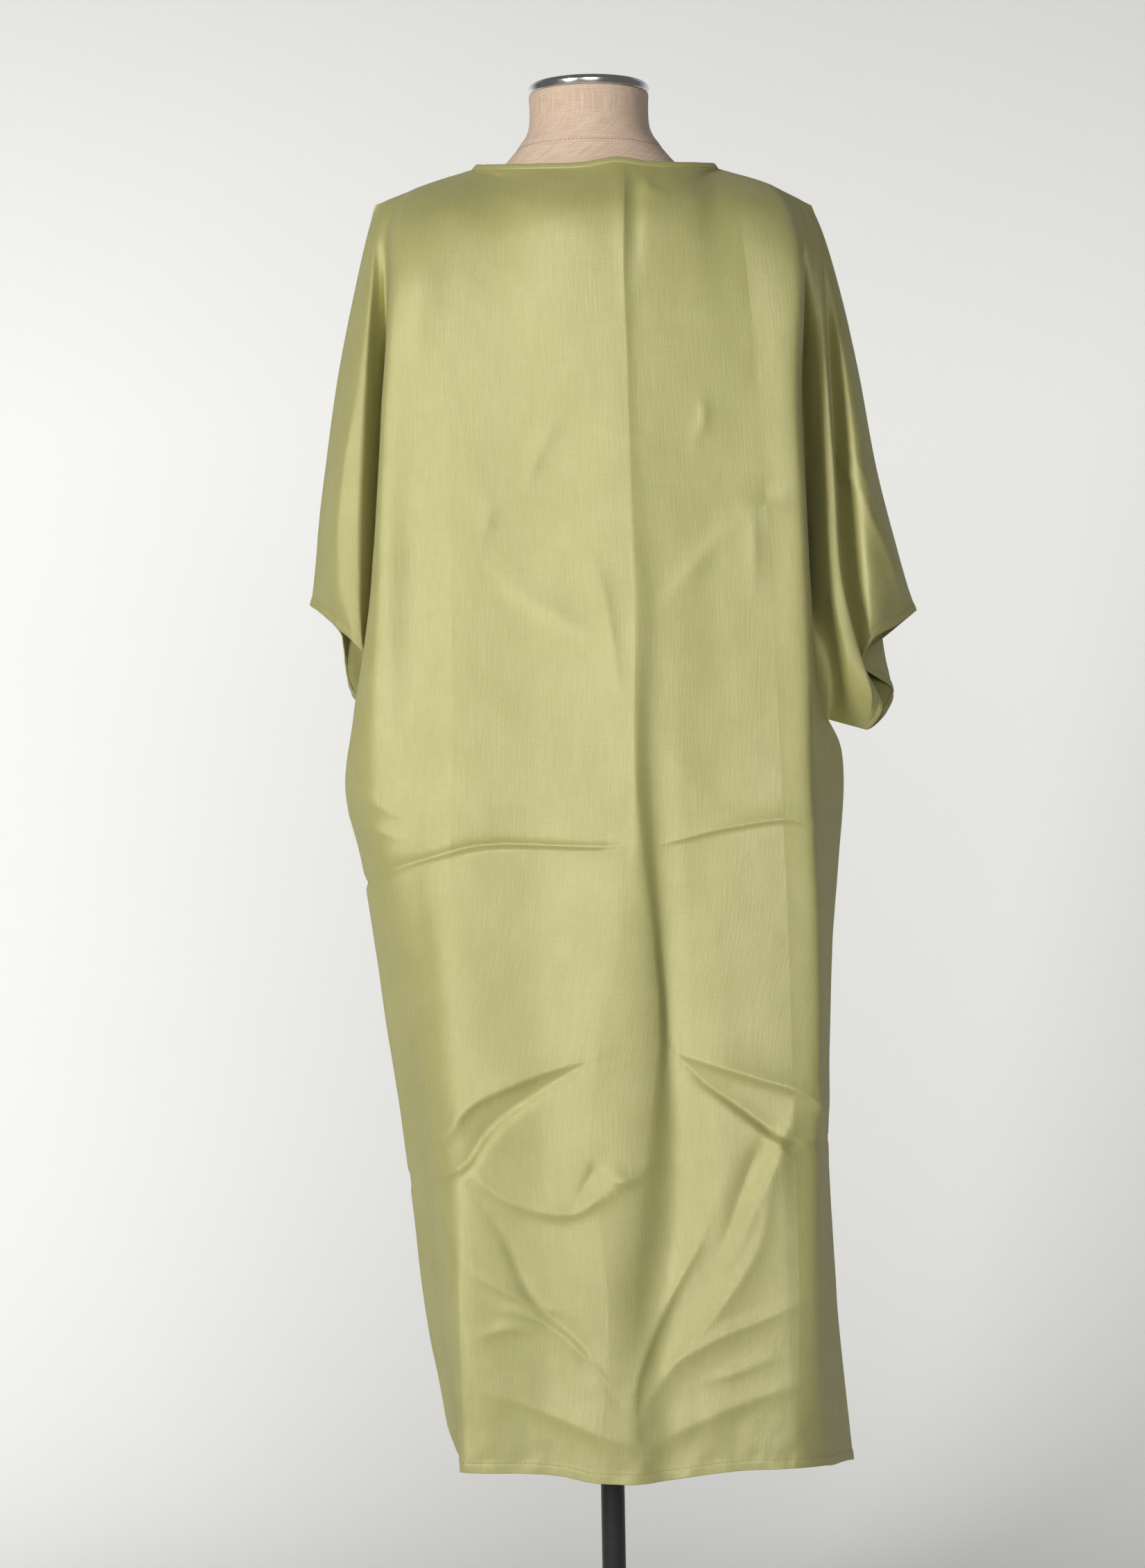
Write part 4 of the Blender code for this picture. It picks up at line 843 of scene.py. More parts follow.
clothSettings = {
    "finer": {"back": 6, "front": 5},  # faces to each space of the step tables
    "rows": {
        "above": crowdedShares(100, ((0.0, 0.04, 1.0), (1.0, 0.1, 0.6))),
        "below": crowdedShares(260, ((0.0, 0.03, 0.8), (0.18, 0.04, 1.6), (0.5, 0.1, 0.6))),
    },
    "seed": {"back": 1, "front": 5},
    # swells and crumples: size in cm, height in cm, and what is added to the panel's seed
    "swells": ((7.0, 0.07, 0), (2.8, 0.035, 1), (1.3, 0.012, 4)),
    "swellDrop": 0.55,  # heights count this much, so the swells are longer downwards
    "crumples": ((2.2, 0.09, 2), (1.1, 0.035, 3)),
    "crumpleDrop": 0.77,
    "crumpleReach": 7.0,  # how far above a hem the crumples fade out, in cm
    "crumpleElsewhere": 0.18,  # what is left of them beyond that
    "calmSeam": 1.6,  # creases fade out this near a seam
    "calmNeck": 1.0,
    "fadeColumns": 6,  # and over so many columns where the sleeves begin
    "hem": 1.0,  # turned up at the bottom, in cm
    "sleeveHem": 0.8,
    "turning": 0.1,  # from the cloth to the turned-in layer
    "turnStep": 0.09,  # how far a turned hem stands proud of the single cloth
    "turnSlope": 0.12,
    "stitchPlace": 0.9,  # of the hem's width
    "stitchGroove": 0.09,
    "stitchGrooveWidth": 0.1,
    "puckerHeight": 0.12,
    "puckerSize": 1.3,
    "puckerReach": 1.2,
    "seamRise": 0.03,  # cloth on either hand of a seam
    "seamPlace": 0.4,
}
farOff = 99.0  # cm, for points that are near no hem


def flatPlaces(grid, middle, count):
    # lengths along the cloth, in cm: across from the middle fold line, and down from the top
    flat = np.zeros((count, 2))
    for part, ids in (("above", grid["upperIds"]), ("below", grid["lowerIds"])):
        block = grid["points"][ids]
        across = np.zeros(ids.shape)
        across[1:] = np.cumsum(np.linalg.norm(np.diff(block, axis=0), axis=2), axis=0)
        down = np.zeros(ids.shape)
        down[:, 1:] = np.cumsum(np.linalg.norm(np.diff(block, axis=1), axis=2), axis=1)
        line = middle if part == "above" else middle - grid["start"]
        across -= across[line]
        if part == "below":
            down += flat[ids[:, 0], 1][:, None]
            ids, across, down = ids[:, 1:], across[:, 1:], down[:, 1:]
        flat[ids, 0], flat[ids, 1] = across, down
    return flat


def distanceTo(points, targets):
    tree = kdtree.KDTree(len(targets))
    for index, target in enumerate(targets):
        tree.insert(target, index)
    tree.balance()
    return np.array([tree.find(point)[2] for point in points])


def hemPlaces(points, run):
    # how far each point of a hem's run is from its edge
    steps = np.linalg.norm(np.diff(points[run], axis=1), axis=2)
    return np.hstack([np.zeros((len(run), 1)), np.cumsum(steps, axis=1)])


def acrossHem(values, away, distance):
    # values at one distance from the hem's edge, column by column
    return np.array([
        [np.interp(distance, away[column], values[column, :, axis]) for axis in range(values.shape[2])]
        for column in range(len(values))
    ])


def bodyColumns(panel, grid):
    # each point's column, the body's first and last column, and the middle one
    folds, steps = panelFolds[panel], grid["steps"]
    columns = np.concatenate([
        np.repeat(np.arange(grid["above"].shape[0]), grid["above"].shape[1]),
        np.repeat(grid["start"] + np.arange(len(grid["below"])), grid["below"].shape[1] - 1),
    ])
    first, names = len(folds["leftSleeve"]), list(folds["body"])
    middleName = "centreRidge" if panel == "back" else "centreFront"
    bodyStart = sum(steps[:first])
    bodyEnd = sum(steps[: first + len(names) - 1])
    return columns, bodyStart, bodyEnd, sum(steps[: first + names.index(middleName)])


def creasesOn(points, columns, bodyStart, bodyEnd, tables):
    wide = clothSettings["fadeColumns"]
    onBody = smoothStep((columns - bodyStart) / wide + 0.5) * smoothStep((bodyEnd - columns) / wide + 0.5)
    heights = points[:, 2]
    lift = creaseLift(points, tables["body"]) * np.where(heights < underarmHeight, 1.0, onBody)
    for side, onSleeve in (("left", columns < bodyStart), ("right", columns > bodyEnd)):
        if side + "Sleeve" in tables:
            onSleeve = onSleeve & (heights > underarmHeight)
            lift += creaseLift(points, tables[side + "Sleeve"]) * onSleeve
    return lift


def looseCloth(panel, points, flat, hemDistance, hemWidth):
    # swells everywhere, crumples above the hems, and puckers where the hems are stitched
    settings = clothSettings
    seed = settings["seed"][panel]
    swells = [(size, height, seed + more) for size, height, more in settings["swells"]]
    crumples = [(size, height, seed + more) for size, height, more in settings["crumples"]]
    lift = unevenness(points * (1.0, 1.0, settings["swellDrop"]), swells)
    nearHem = np.exp(-((hemDistance / settings["crumpleReach"]) ** 2))
    crumple = unevenness(points * (1.0, 1.0, settings["crumpleDrop"]), crumples)
    lift += crumple * (settings["crumpleElsewhere"] + nearHem)
    across, down = flat.T
    slanted = np.column_stack([across / settings["puckerSize"] + down / 4.0, down / 5.0, across * 0])
    pucker = np.array([noise.noise(Vector(place) + Vector((seed, 0, 0))) for place in slanted])
    fade = np.exp(-(((hemDistance - hemWidth * 0.8) / settings["puckerReach"]) ** 2))
    return lift + settings["puckerHeight"] * pucker * fade


def sewnEdges(seamDistance, neckDistance, hemDistance, hemWidth):
    # cloth stands up on either hand of a seam, is thicker in a hem, and dips under the stitches
    settings = clothSettings
    rise = seamDistance / settings["seamPlace"]
    lift = settings["seamRise"] * rise * np.exp(1 - rise) * smoothStep(neckDistance / 0.6)
    slope = settings["turnSlope"]
    inHem = 1 - smoothStep((hemDistance - hemWidth + slope / 2) / slope)
    stitched = (hemDistance - settings["stitchPlace"] * hemWidth) / settings["stitchGrooveWidth"]
    sewn = settings["turnStep"] * inHem - settings["stitchGroove"] * np.exp(-(stitched**2))
    return lift + sewn * smoothStep(seamDistance / 0.5)


def turnHems(grid, flat, flip):
    # the turned-in layer behind each hem: its points, their flat places and its faces
    count = len(flat)
    points, flatRows, faces = [], [], []
    for run, away, width in zip(grid["runs"], grid["places"], grid["widths"]):
        ids = [run[:, 0]]
        for depth in [0.0] + [row for row in hemRows if 0 < row < width - 0.05] + [width]:
            inside = acrossHem(grid["points"][run], away, depth)
            facing = acrossHem(grid["normals"][run], away, depth)
            points.append(inside - facing * clothSettings["turning"])
            flatRows.append(flat[run[:, 0]] + (0.0, depth))
            ids.append(count + np.arange(len(run)))
            count += len(run)
        ids = np.stack(ids, axis=1)
        corners = [ids[:-1, :-1], ids[:-1, 1:], ids[1:, 1:], ids[1:, :-1]]
        turned = np.stack(corners, axis=2).reshape(-1, 4)
        faces.append(turned[:, ::-1] if flip else turned)
    return points, flatRows, faces


def makePanel(panel, lines, creaseTables):
    settings = clothSettings
    grid = panelGrid(panel, lines, settings["finer"][panel])
    points, faces = numberGrid(grid)
    if panel == "front":
        faces = faces[:, ::-1]
    grid["points"] = points
    columns, bodyStart, bodyEnd, middle = bodyColumns(panel, grid)
    flat = flatPlaces(grid, middle, len(points))
    neckRow = grid["upperIds"][grid["neck"][0] : grid["neck"][1] + 1, 0]
    seamPoints = [points[run] for side in ("left", "right") for run in seamRuns(grid, side)]
    seamDistance = distanceTo(points, np.vstack(seamPoints))
    neckDistance = distanceTo(points, points[neckRow])

    runs = hemRuns(grid)
    widths = (settings["sleeveHem"], settings["sleeveHem"], settings["hem"])
    places = [hemPlaces(points, run) for run in runs]
    hemDistance = np.full(len(points), farOff)
    hemWidth = np.full(len(points), settings["hem"])
    for run, away, width in zip(runs, places, widths):
        hemDistance[run] = np.minimum(hemDistance[run], away)
        hemWidth[run] = width

    lift = creasesOn(points, columns, bodyStart, bodyEnd, creaseTables)
    lift += looseCloth(panel, points, flat, hemDistance, hemWidth)
    lift *= smoothStep(seamDistance / settings["calmSeam"]) * smoothStep(neckDistance / settings["calmNeck"])
    lift += sewnEdges(seamDistance, neckDistance, hemDistance, hemWidth)
    points += vertexNormals(points, faces) * lift[:, None]
    grid.update(neckRow=neckRow, runs=runs, places=places, widths=widths)
    grid["normals"] = vertexNormals(points, faces)

    turnedPoints, turnedFlat, turnedFaces = turnHems(grid, flat, panel == "front")
    allFaces = np.vstack([faces] + turnedFaces)
    allFlat = np.vstack([flat] + turnedFlat)
    piece = meshPiece(panel + "Panel", np.vstack([points] + turnedPoints), allFaces, allFlat)
    print(panel, "panel:", len(allFaces), "faces")
    return piece, grid


def meshPiece(name, points, faces, flat=None):
    mesh = bpy.data.meshes.new(name)
    mesh.from_pydata((np.asarray(points) * cm).tolist(), [], [list(map(int, face)) for face in faces])
    if flat is not None:
        layer = mesh.uv_layers.new(name="cloth")
        corners = np.zeros(len(mesh.loops), np.int32)
        mesh.loops.foreach_get("vertex_index", corners)
        layer.data.foreach_set("uv", (flat[corners] * cm).astype(np.float32).ravel())
    mesh.validate()
    piece = bpy.data.objects.new(name, mesh)
    bpy.context.scene.collection.objects.link(piece)
    mesh.shade_smooth()
    return piece


# materials


def addNode(tree, kind, sockets=None, **settings):
    made = tree.nodes.new(kind)
    for name, value in settings.items():
        setattr(made, name, value)
    for name, value in (sockets or {}).items():
        if isinstance(value, bpy.types.NodeSocket):
            tree.links.new(value, made.inputs[name])
        else:
            made.inputs[name].default_value = value
    return made


def mathNode(tree, operation, first, second=0.0, third=0.0):
    return addNode(
        tree, "ShaderNodeMath", {0: first, 1: second, 2: third}, operation=operation).outputs[0]


def mixColours(tree, factor, first, second):
    # the colour sockets of a Mix node are its seventh and eighth
    mix = addNode(tree, "ShaderNodeMix", {0: factor, 6: first, 7: second}, data_type="RGBA")
    return mix.outputs[2]


def newGroup(name, inputs, outputs):
    group = bpy.data.node_groups.new(name, "ShaderNodeTree")
    for label in inputs:
        kind = "NodeSocketVector" if label == "Vector" else "NodeSocketFloat"
        group.interface.new_socket(label, in_out="INPUT", socket_type=kind)
    for label in outputs:
        group.interface.new_socket(label, in_out="OUTPUT", socket_type="NodeSocketFloat")
    return group, group.nodes.new("NodeGroupInput"), group.nodes.new("NodeGroupOutput")


def makeThreadGroup():
    # woven threads along and across a cloth, with slubs where a thread is thicker
    group, given, result = newGroup(
        "wovenThreads",
        ("Vector", "Threads", "Lean", "Slub Width", "Slub Length"),
        ("Weave", "Slub", "Patch"),
    )
    place = addNode(group, "ShaderNodeSeparateXYZ", {0: given.outputs["Vector"]})
    across, down = place.outputs[0], place.outputs[1]
    turns = mathNode(group, "MULTIPLY", given.outputs["Threads"], 2 * math.pi)
    lean = mathNode(group, "MULTIPLY", down, given.outputs["Lean"])
    leaning = mathNode(group, "ADD", across, lean)
    warp = mathNode(group, "SINE", mathNode(group, "MULTIPLY", leaning, turns))
    weft = mathNode(group, "SINE", mathNode(group, "MULTIPLY", down, turns))
    weave = mathNode(group, "MULTIPLY_ADD", mathNode(group, "ADD", warp, weft), 0.25, 0.5)
    slubs = []
    for first, second in ((across, down), (down, across)):
        scaled = addNode(group, "ShaderNodeCombineXYZ", {
            0: mathNode(group, "MULTIPLY", first, given.outputs["Slub Width"]),
            1: mathNode(group, "MULTIPLY", second, given.outputs["Slub Length"]),
        })
        streak = addNode(group, "ShaderNodeTexNoise",
                         {"Vector": scaled.outputs[0], "Scale": 1.0, "Detail": 3.0, "Roughness": 0.6})
        slubs.append(streak.outputs[0])
    slub = mathNode(group, "MULTIPLY_ADD", slubs[0], 0.65, mathNode(group, "MULTIPLY", slubs[1], 0.35))
    patch = addNode(group, "ShaderNodeTexNoise",
                    {"Vector": given.outputs["Vector"], "Scale": 14.0, "Detail": 4.0, "Roughness": 0.55})
    group.links.new(weave, result.inputs["Weave"])
    group.links.new(slub, result.inputs["Slub"])
    group.links.new(patch.outputs[0], result.inputs["Patch"])
    return group


def newMaterial(name, constants):
    material = bpy.data.materials.new(name)
    material.use_nodes = True
    tree = material.node_tree
    shader = tree.nodes["Principled BSDF"]
    for socket, value in constants.items():
        shader.inputs[socket].default_value = value
    return material, tree, shader


def layThreads(tree, threadGroup, counts):
    # the threads follow the cloth's own flat map
    flatMap = addNode(tree, "ShaderNodeUVMap", uv_map="cloth")
    threads = addNode(tree, "ShaderNodeGroup", node_tree=threadGroup)
    tree.links.new(flatMap.outputs[0], threads.inputs["Vector"])
    for label, value in counts.items():
        threads.inputs[label].default_value = value
    return threads


satinSettings = {
    "light": (0.42, 0.4, 0.155, 1.0),
    "deep": (0.355, 0.335, 0.11, 1.0),
    "wrongSide": (0.36, 0.34, 0.12, 1.0),
    "rough": (0.35, 0.43),
    "dulled": 0.4,  # roughness added where the cloth is seen along its surface
    "shader": {
        "Specular IOR Level": 1.0,
        "Specular Tint": (1.0, 0.98, 0.84, 1.0),
        "IOR": 1.6,
        "Metallic": 0.1,
        "Sheen Weight": 0.05,
        "Sheen Roughness": 0.4,
        "Sheen Tint": (1.0, 0.98, 0.86, 1.0),
    },
    "threads": {"Threads": 2200.0, "Lean": 0.0, "Slub Width": 520.0, "Slub Length": 30.0},
    "bump": 1.0,
    "bumpDepth": 0.0003,  # in m
}


def makeSatin(name, threadGroup, settings):
    material, tree, shader = newMaterial(name, settings["shader"])
    threads = layThreads(tree, threadGroup, settings["threads"])
    slub, patch, weave = (threads.outputs[label] for label in ("Slub", "Patch", "Weave"))
    mixed = mathNode(tree, "MULTIPLY_ADD", patch, 0.45, mathNode(tree, "MULTIPLY", slub, 0.55))
    tone = addNode(tree, "ShaderNodeMapRange", {0: mixed, 1: 0.35, 2: 0.65})
    colour = mixColours(tree, tone.outputs[0], settings["deep"], settings["light"])
    facing = addNode(tree, "ShaderNodeNewGeometry")
    colour = mixColours(tree, facing.outputs["Backfacing"], colour, settings["wrongSide"])
    tree.links.new(colour, shader.inputs["Base Color"])
    rough = addNode(tree, "ShaderNodeMapRange",
                    {0: slub, 1: 0.3, 2: 0.7, 3: settings["rough"][1], 4: settings["rough"][0]})
    # seen along its surface the cloth shows its fibres and loses its gloss
    grazing = addNode(tree, "ShaderNodeLayerWeight", {"Blend": 0.5})
    edge = mathNode(tree, "POWER", grazing.outputs["Facing"], 2.0)
    dulled = mathNode(tree, "MULTIPLY_ADD", edge, settings["dulled"], rough.outputs[0])
    tree.links.new(dulled, shader.inputs["Roughness"])
    height = mathNode(tree, "MULTIPLY_ADD", weave, 0.3, slub)
    bump = addNode(tree, "ShaderNodeBump",
                   {"Strength": settings["bump"], "Distance": settings["bumpDepth"], "Height": height})
    tree.links.new(bump.outputs[0], shader.inputs["Normal"])
    return material


linenSettings = {
    "light": (0.74, 0.58, 0.45, 1.0),
    "deep": (0.36, 0.24, 0.165, 1.0),
    "shader": {
        "Roughness": 0.85, "Specular IOR Level": 0.25, "Sheen Weight": 0.15, "Sheen Roughness": 0.5},
    "threads": {"Threads": 620.0, "Lean": 0.8, "Slub Width": 520.0, "Slub Length": 45.0},
    "bump": 0.6,
    "bumpDepth": 0.0006,  # in m
}


def makeLinen(name, threadGroup, settings):
    material, tree, shader = newMaterial(name, settings["shader"])
    threads = layThreads(tree, threadGroup, settings["threads"])
    mixed = mathNode(tree, "MULTIPLY_ADD", threads.outputs["Weave"], 0.35,
                     mathNode(tree, "MULTIPLY", threads.outputs["Slub"], 0.65))
    tone = addNode(tree, "ShaderNodeMapRange", {0: mixed, 1: 0.25, 2: 0.7})
    tree.links.new(mixColours(tree, tone.outputs[0], settings["deep"], settings["light"]),
                   shader.inputs["Base Color"])
    bump = addNode(tree, "ShaderNodeBump",
                   {"Strength": settings["bump"], "Distance": settings["bumpDepth"], "Height": mixed})
    tree.links.new(bump.outputs[0], shader.inputs["Normal"])
    return material


def makeHard(name, colours, rough, grain, constants):
    # a hard finish: two close colours, a range of roughness, and fine marks of one size
    material, tree, shader = newMaterial(name, constants)
    place = addNode(tree, "ShaderNodeTexCoord")
    marks = addNode(tree, "ShaderNodeTexNoise",
                    {"Vector": place.outputs["Object"], "Scale": grain, "Detail": 5.0, "Roughness": 0.6})
    tone = addNode(tree, "ShaderNodeMapRange", {0: marks.outputs[0], 1: 0.35, 2: 0.65})
    tree.links.new(mixColours(tree, tone.outputs[0], *colours), shader.inputs["Base Color"])
    roughness = addNode(tree, "ShaderNodeMapRange",
                        {0: marks.outputs[0], 1: 0.3, 2: 0.7, 3: rough[0], 4: rough[1]})
    tree.links.new(roughness.outputs[0], shader.inputs["Roughness"])
    bump = addNode(tree, "ShaderNodeBump",
                   {"Strength": 0.15, "Distance": 0.0002, "Height": marks.outputs[0]})
    tree.links.new(bump.outputs[0], shader.inputs["Normal"])
    return material


# two colours, the range of roughness, marks to a metre, and the shader's own values
hardSettings = {
    "sewingThread": (
        ((0.30, 0.29, 0.09, 1.0), (0.38, 0.37, 0.13, 1.0)), (0.45, 0.6), 900.0, {"Sheen Weight": 0.3}),
    "linenThread": (
        ((0.16, 0.10, 0.06, 1.0), (0.24, 0.16, 0.1, 1.0)), (0.6, 0.75), 900.0, {"Sheen Weight": 0.2}),
    "chrome": (
        ((0.70, 0.70, 0.71, 1.0), (0.78, 0.78, 0.79, 1.0)), (0.12, 0.24), 60.0, {"Metallic": 1.0}),
    "blackSteel": (
        ((0.008, 0.008, 0.009, 1.0), (0.016, 0.016, 0.018, 1.0)), (0.35, 0.5), 400.0,
        {"Specular IOR Level": 0.5}),
}


def giveMaterial(piece, material):
    piece.data.materials.clear()
    piece.data.materials.append(material)


# neck binding

bindingSettings = {
    # the band's section: out from the cloth, and up from the panels' edge, in cm
    "section": ((0.0, -0.1), (0.06, -0.11), (0.09, -0.07), (0.1, 0.03), (0.12, 0.2), (0.11, 0.36),
                (0.07, 0.46), (0.0, 0.49), (-0.07, 0.46), (-0.11, 0.34), (-0.12, 0.18), (-0.11, 0.0),
                (-0.08, -0.08), (-0.04, -0.1)),
    "stitchOut": 0.09,
    "stitchUp": 0.02,
    "smoothing": 10,  # passes that even out the band's way round the corners
    "upright": (0.8, 0.35),  # how much it follows the cloth, and how much it stands up
    "wobbleSize": 1.1,
    "wobbleOut": 0.012,
    "wobbleUp": 0.06,
    "flatStep": 0.08,
}


def aroundNeck(back, front):
    # the ring of points at the panels' neck edges, with the ways out of the cloth and up along it
    ring, out = [
        np.vstack([back[kind][back["neckRow"]], front[kind][front["neckRow"]][-2:0:-1]])
        for kind in ("points", "normals")
    ]
    corner = len(back["neckRow"]) - 1
    out[0] += front["normals"][front["neckRow"][0]]
    out[corner] += front["normals"][front["neckRow"][-1]]
    for step in range(bindingSettings["smoothing"]):
        out = np.roll(out, 1, axis=0) + 2 * out + np.roll(out, -1, axis=0)
        out /= np.linalg.norm(out, axis=1, keepdims=True)
    along = np.roll(ring, -1, axis=0) - np.roll(ring, 1, axis=0)
    along /= np.linalg.norm(along, axis=1, keepdims=True)
    up = np.cross(out, along)
    up /= np.linalg.norm(up, axis=1, keepdims=True)
    follow, stand = bindingSettings["upright"]
    up = up * follow + (0.0, 0.0, stand)
    up /= np.linalg.norm(up, axis=1, keepdims=True)
    return ring, out, up


def makeBinding(back, front):
    settings = bindingSettings
    ring, out, up = aroundNeck(back, front)
    count, around = len(ring), len(settings["section"])
    length = np.concatenate([[0.0], np.cumsum(np.linalg.norm(np.diff(ring, axis=0), axis=1))])
    wobble = np.array([[noise.noise(Vector(point) / settings["wobbleSize"])] for point in ring])
    outward, upward = settings["wobbleOut"] * wobble, 1 + settings["wobbleUp"] * wobble
    points = [
        ring + out * (across + outward) + up * (rise * upward) for across, rise in settings["section"]]
    number = np.arange(around * count).reshape(around, count)
    after = np.roll(number, -1, axis=1)
    corners = [number, np.roll(number, -1, axis=0), np.roll(after, -1, axis=0), after]
    faces = np.stack(corners, axis=2).reshape(-1, 4)[:, ::-1]
    flat = np.vstack([
        np.column_stack([length, np.full(count, settings["flatStep"] * index)]) for index in range(around)])
    piece = meshPiece("neckBinding", np.vstack(points), faces, flat)
    path = ring + out * settings["stitchOut"] + up * settings["stitchUp"]
    return piece, np.vstack([path, path[:1]])


# stitches

stitchSettings = {
    "hem": {"pitch": 0.36, "length": 0.27, "thickness": 0.06, "seed": 3},
    "sleeve": {"pitch": 0.34, "length": 0.25, "thickness": 0.06, "seed": 5},
    "neck": {"pitch": 0.3, "length": 0.21, "thickness": 0.055, "seed": 7},
    "form": {"pitch": 0.36, "length": 0.22, "thickness": 0.06, "seed": 9},
    "segments": 6,
    "rings": 5,
    "scale": (0.86, 1.1),  # how unlike one another the stitches are
    "proud": 0.012,  # their middles, off the cloth in cm
}


def makeStitchTree():
    settings = stitchSettings
    tree = bpy.data.node_groups.new("stitchLine", "GeometryNodeTree")
    face = tree.interface
    face.new_socket("Geometry", in_out="OUTPUT", socket_type="NodeSocketGeometry")
    face.new_socket("Geometry", in_out="INPUT", socket_type="NodeSocketGeometry")
    for label in ("Pitch", "Length", "Thickness"):
        face.new_socket(label, in_out="INPUT", socket_type="NodeSocketFloat")
    face.new_socket("Seed", in_out="INPUT", socket_type="NodeSocketInt")
    face.new_socket("Thread", in_out="INPUT", socket_type="NodeSocketMaterial")
    given, result = tree.nodes.new("NodeGroupInput"), tree.nodes.new("NodeGroupOutput")
    curve = addNode(tree, "GeometryNodeMeshToCurve", {"Mesh": given.outputs["Geometry"]})
    places = addNode(tree, "GeometryNodeResampleCurve", {"Curve": curve.outputs[0]}, mode="LENGTH")
    tree.links.new(given.outputs["Pitch"], places.inputs["Length"])
    stitch = addNode(tree, "GeometryNodeMeshUVSphere",
                     {"Segments": settings["segments"], "Rings": settings["rings"], "Radius": 0.5})
    size = addNode(tree, "ShaderNodeCombineXYZ", {
        0: given.outputs["Length"], 1: given.outputs["Thickness"], 2: given.outputs["Thickness"]})
    shaped = addNode(tree, "GeometryNodeTransform",
                     {"Geometry": stitch.outputs[0], "Scale": size.outputs[0]})
    tangent = addNode(tree, "GeometryNodeInputTangent")
    turn = addNode(tree, "FunctionNodeAlignRotationToVector", {"Vector": tangent.outputs[0]}, axis="X")
    least, most = settings["scale"]
    uneven = addNode(tree, "FunctionNodeRandomValue", {2: least, 3: most, "Seed": given.outputs["Seed"]},
                     data_type="FLOAT")
    copies = addNode(tree, "GeometryNodeInstanceOnPoints", {
        "Points": places.outputs[0], "Instance": shaped.outputs[0],
        "Rotation": turn.outputs[0], "Scale": uneven.outputs[1]})
    real = addNode(tree, "GeometryNodeRealizeInstances", {0: copies.outputs[0]})
    dressed = addNode(tree, "GeometryNodeSetMaterial",
                      {"Geometry": real.outputs[0], "Material": given.outputs["Thread"]})
    tree.links.new(dressed.outputs[0], result.inputs[0])
    return tree


def sewStitches(name, paths, settings, tree, thread):
    # one row of stitches along each path, a list of points in cm
    points = np.vstack(paths)
    edges, start = [], 0
    for path in paths:
        edges += [(start + index, start + index + 1) for index in range(len(path) - 1)]
        start += len(path)
    mesh = bpy.data.meshes.new(name)
    mesh.from_pydata((points * cm).tolist(), edges, [])
    piece = bpy.data.objects.new(name, mesh)
    bpy.context.scene.collection.objects.link(piece)
    modifier = piece.modifiers.new("stitches", "NODES")
    modifier.node_group = tree
    values = {
        "Pitch": settings["pitch"] * cm, "Length": settings["length"] * cm,
        "Thickness": settings["thickness"] * cm, "Seed": settings["seed"], "Thread": thread,
    }
    for item in tree.interface.items_tree:
        if item.in_out == "INPUT" and item.name in values:
            modifier[item.identifier] = values[item.name]
    graph = bpy.context.evaluated_depsgraph_get()
    finished = bpy.data.meshes.new_from_object(piece.evaluated_get(graph))
    piece.modifiers.remove(modifier)
    piece.data = finished
    finished.shade_smooth()
    print(name + ":", len(finished.polygons), "faces")
    return piece


# dress form and stand

formSettings = {
    "segments": 112,
    "rowHeight": 0.7,
    "seamHeight": 150.9,  # where the neck piece is sewn to the body
    "seamDepth": 0.07,
    "seamWidth": 0.14,
    "seamRoll": (0.05, 0.5, 0.35),  # the roll above the seam: its height, place and width
    "gathers": 34,  # small folds where the linen goes under the cap
    "gatherDepth": 0.05,
    "gatherStart": 155.0,
    "gatherFade": 0.7,
    "collarStart": 150.0,  # rows are closer together above it
    "collarRow": 0.14,
}


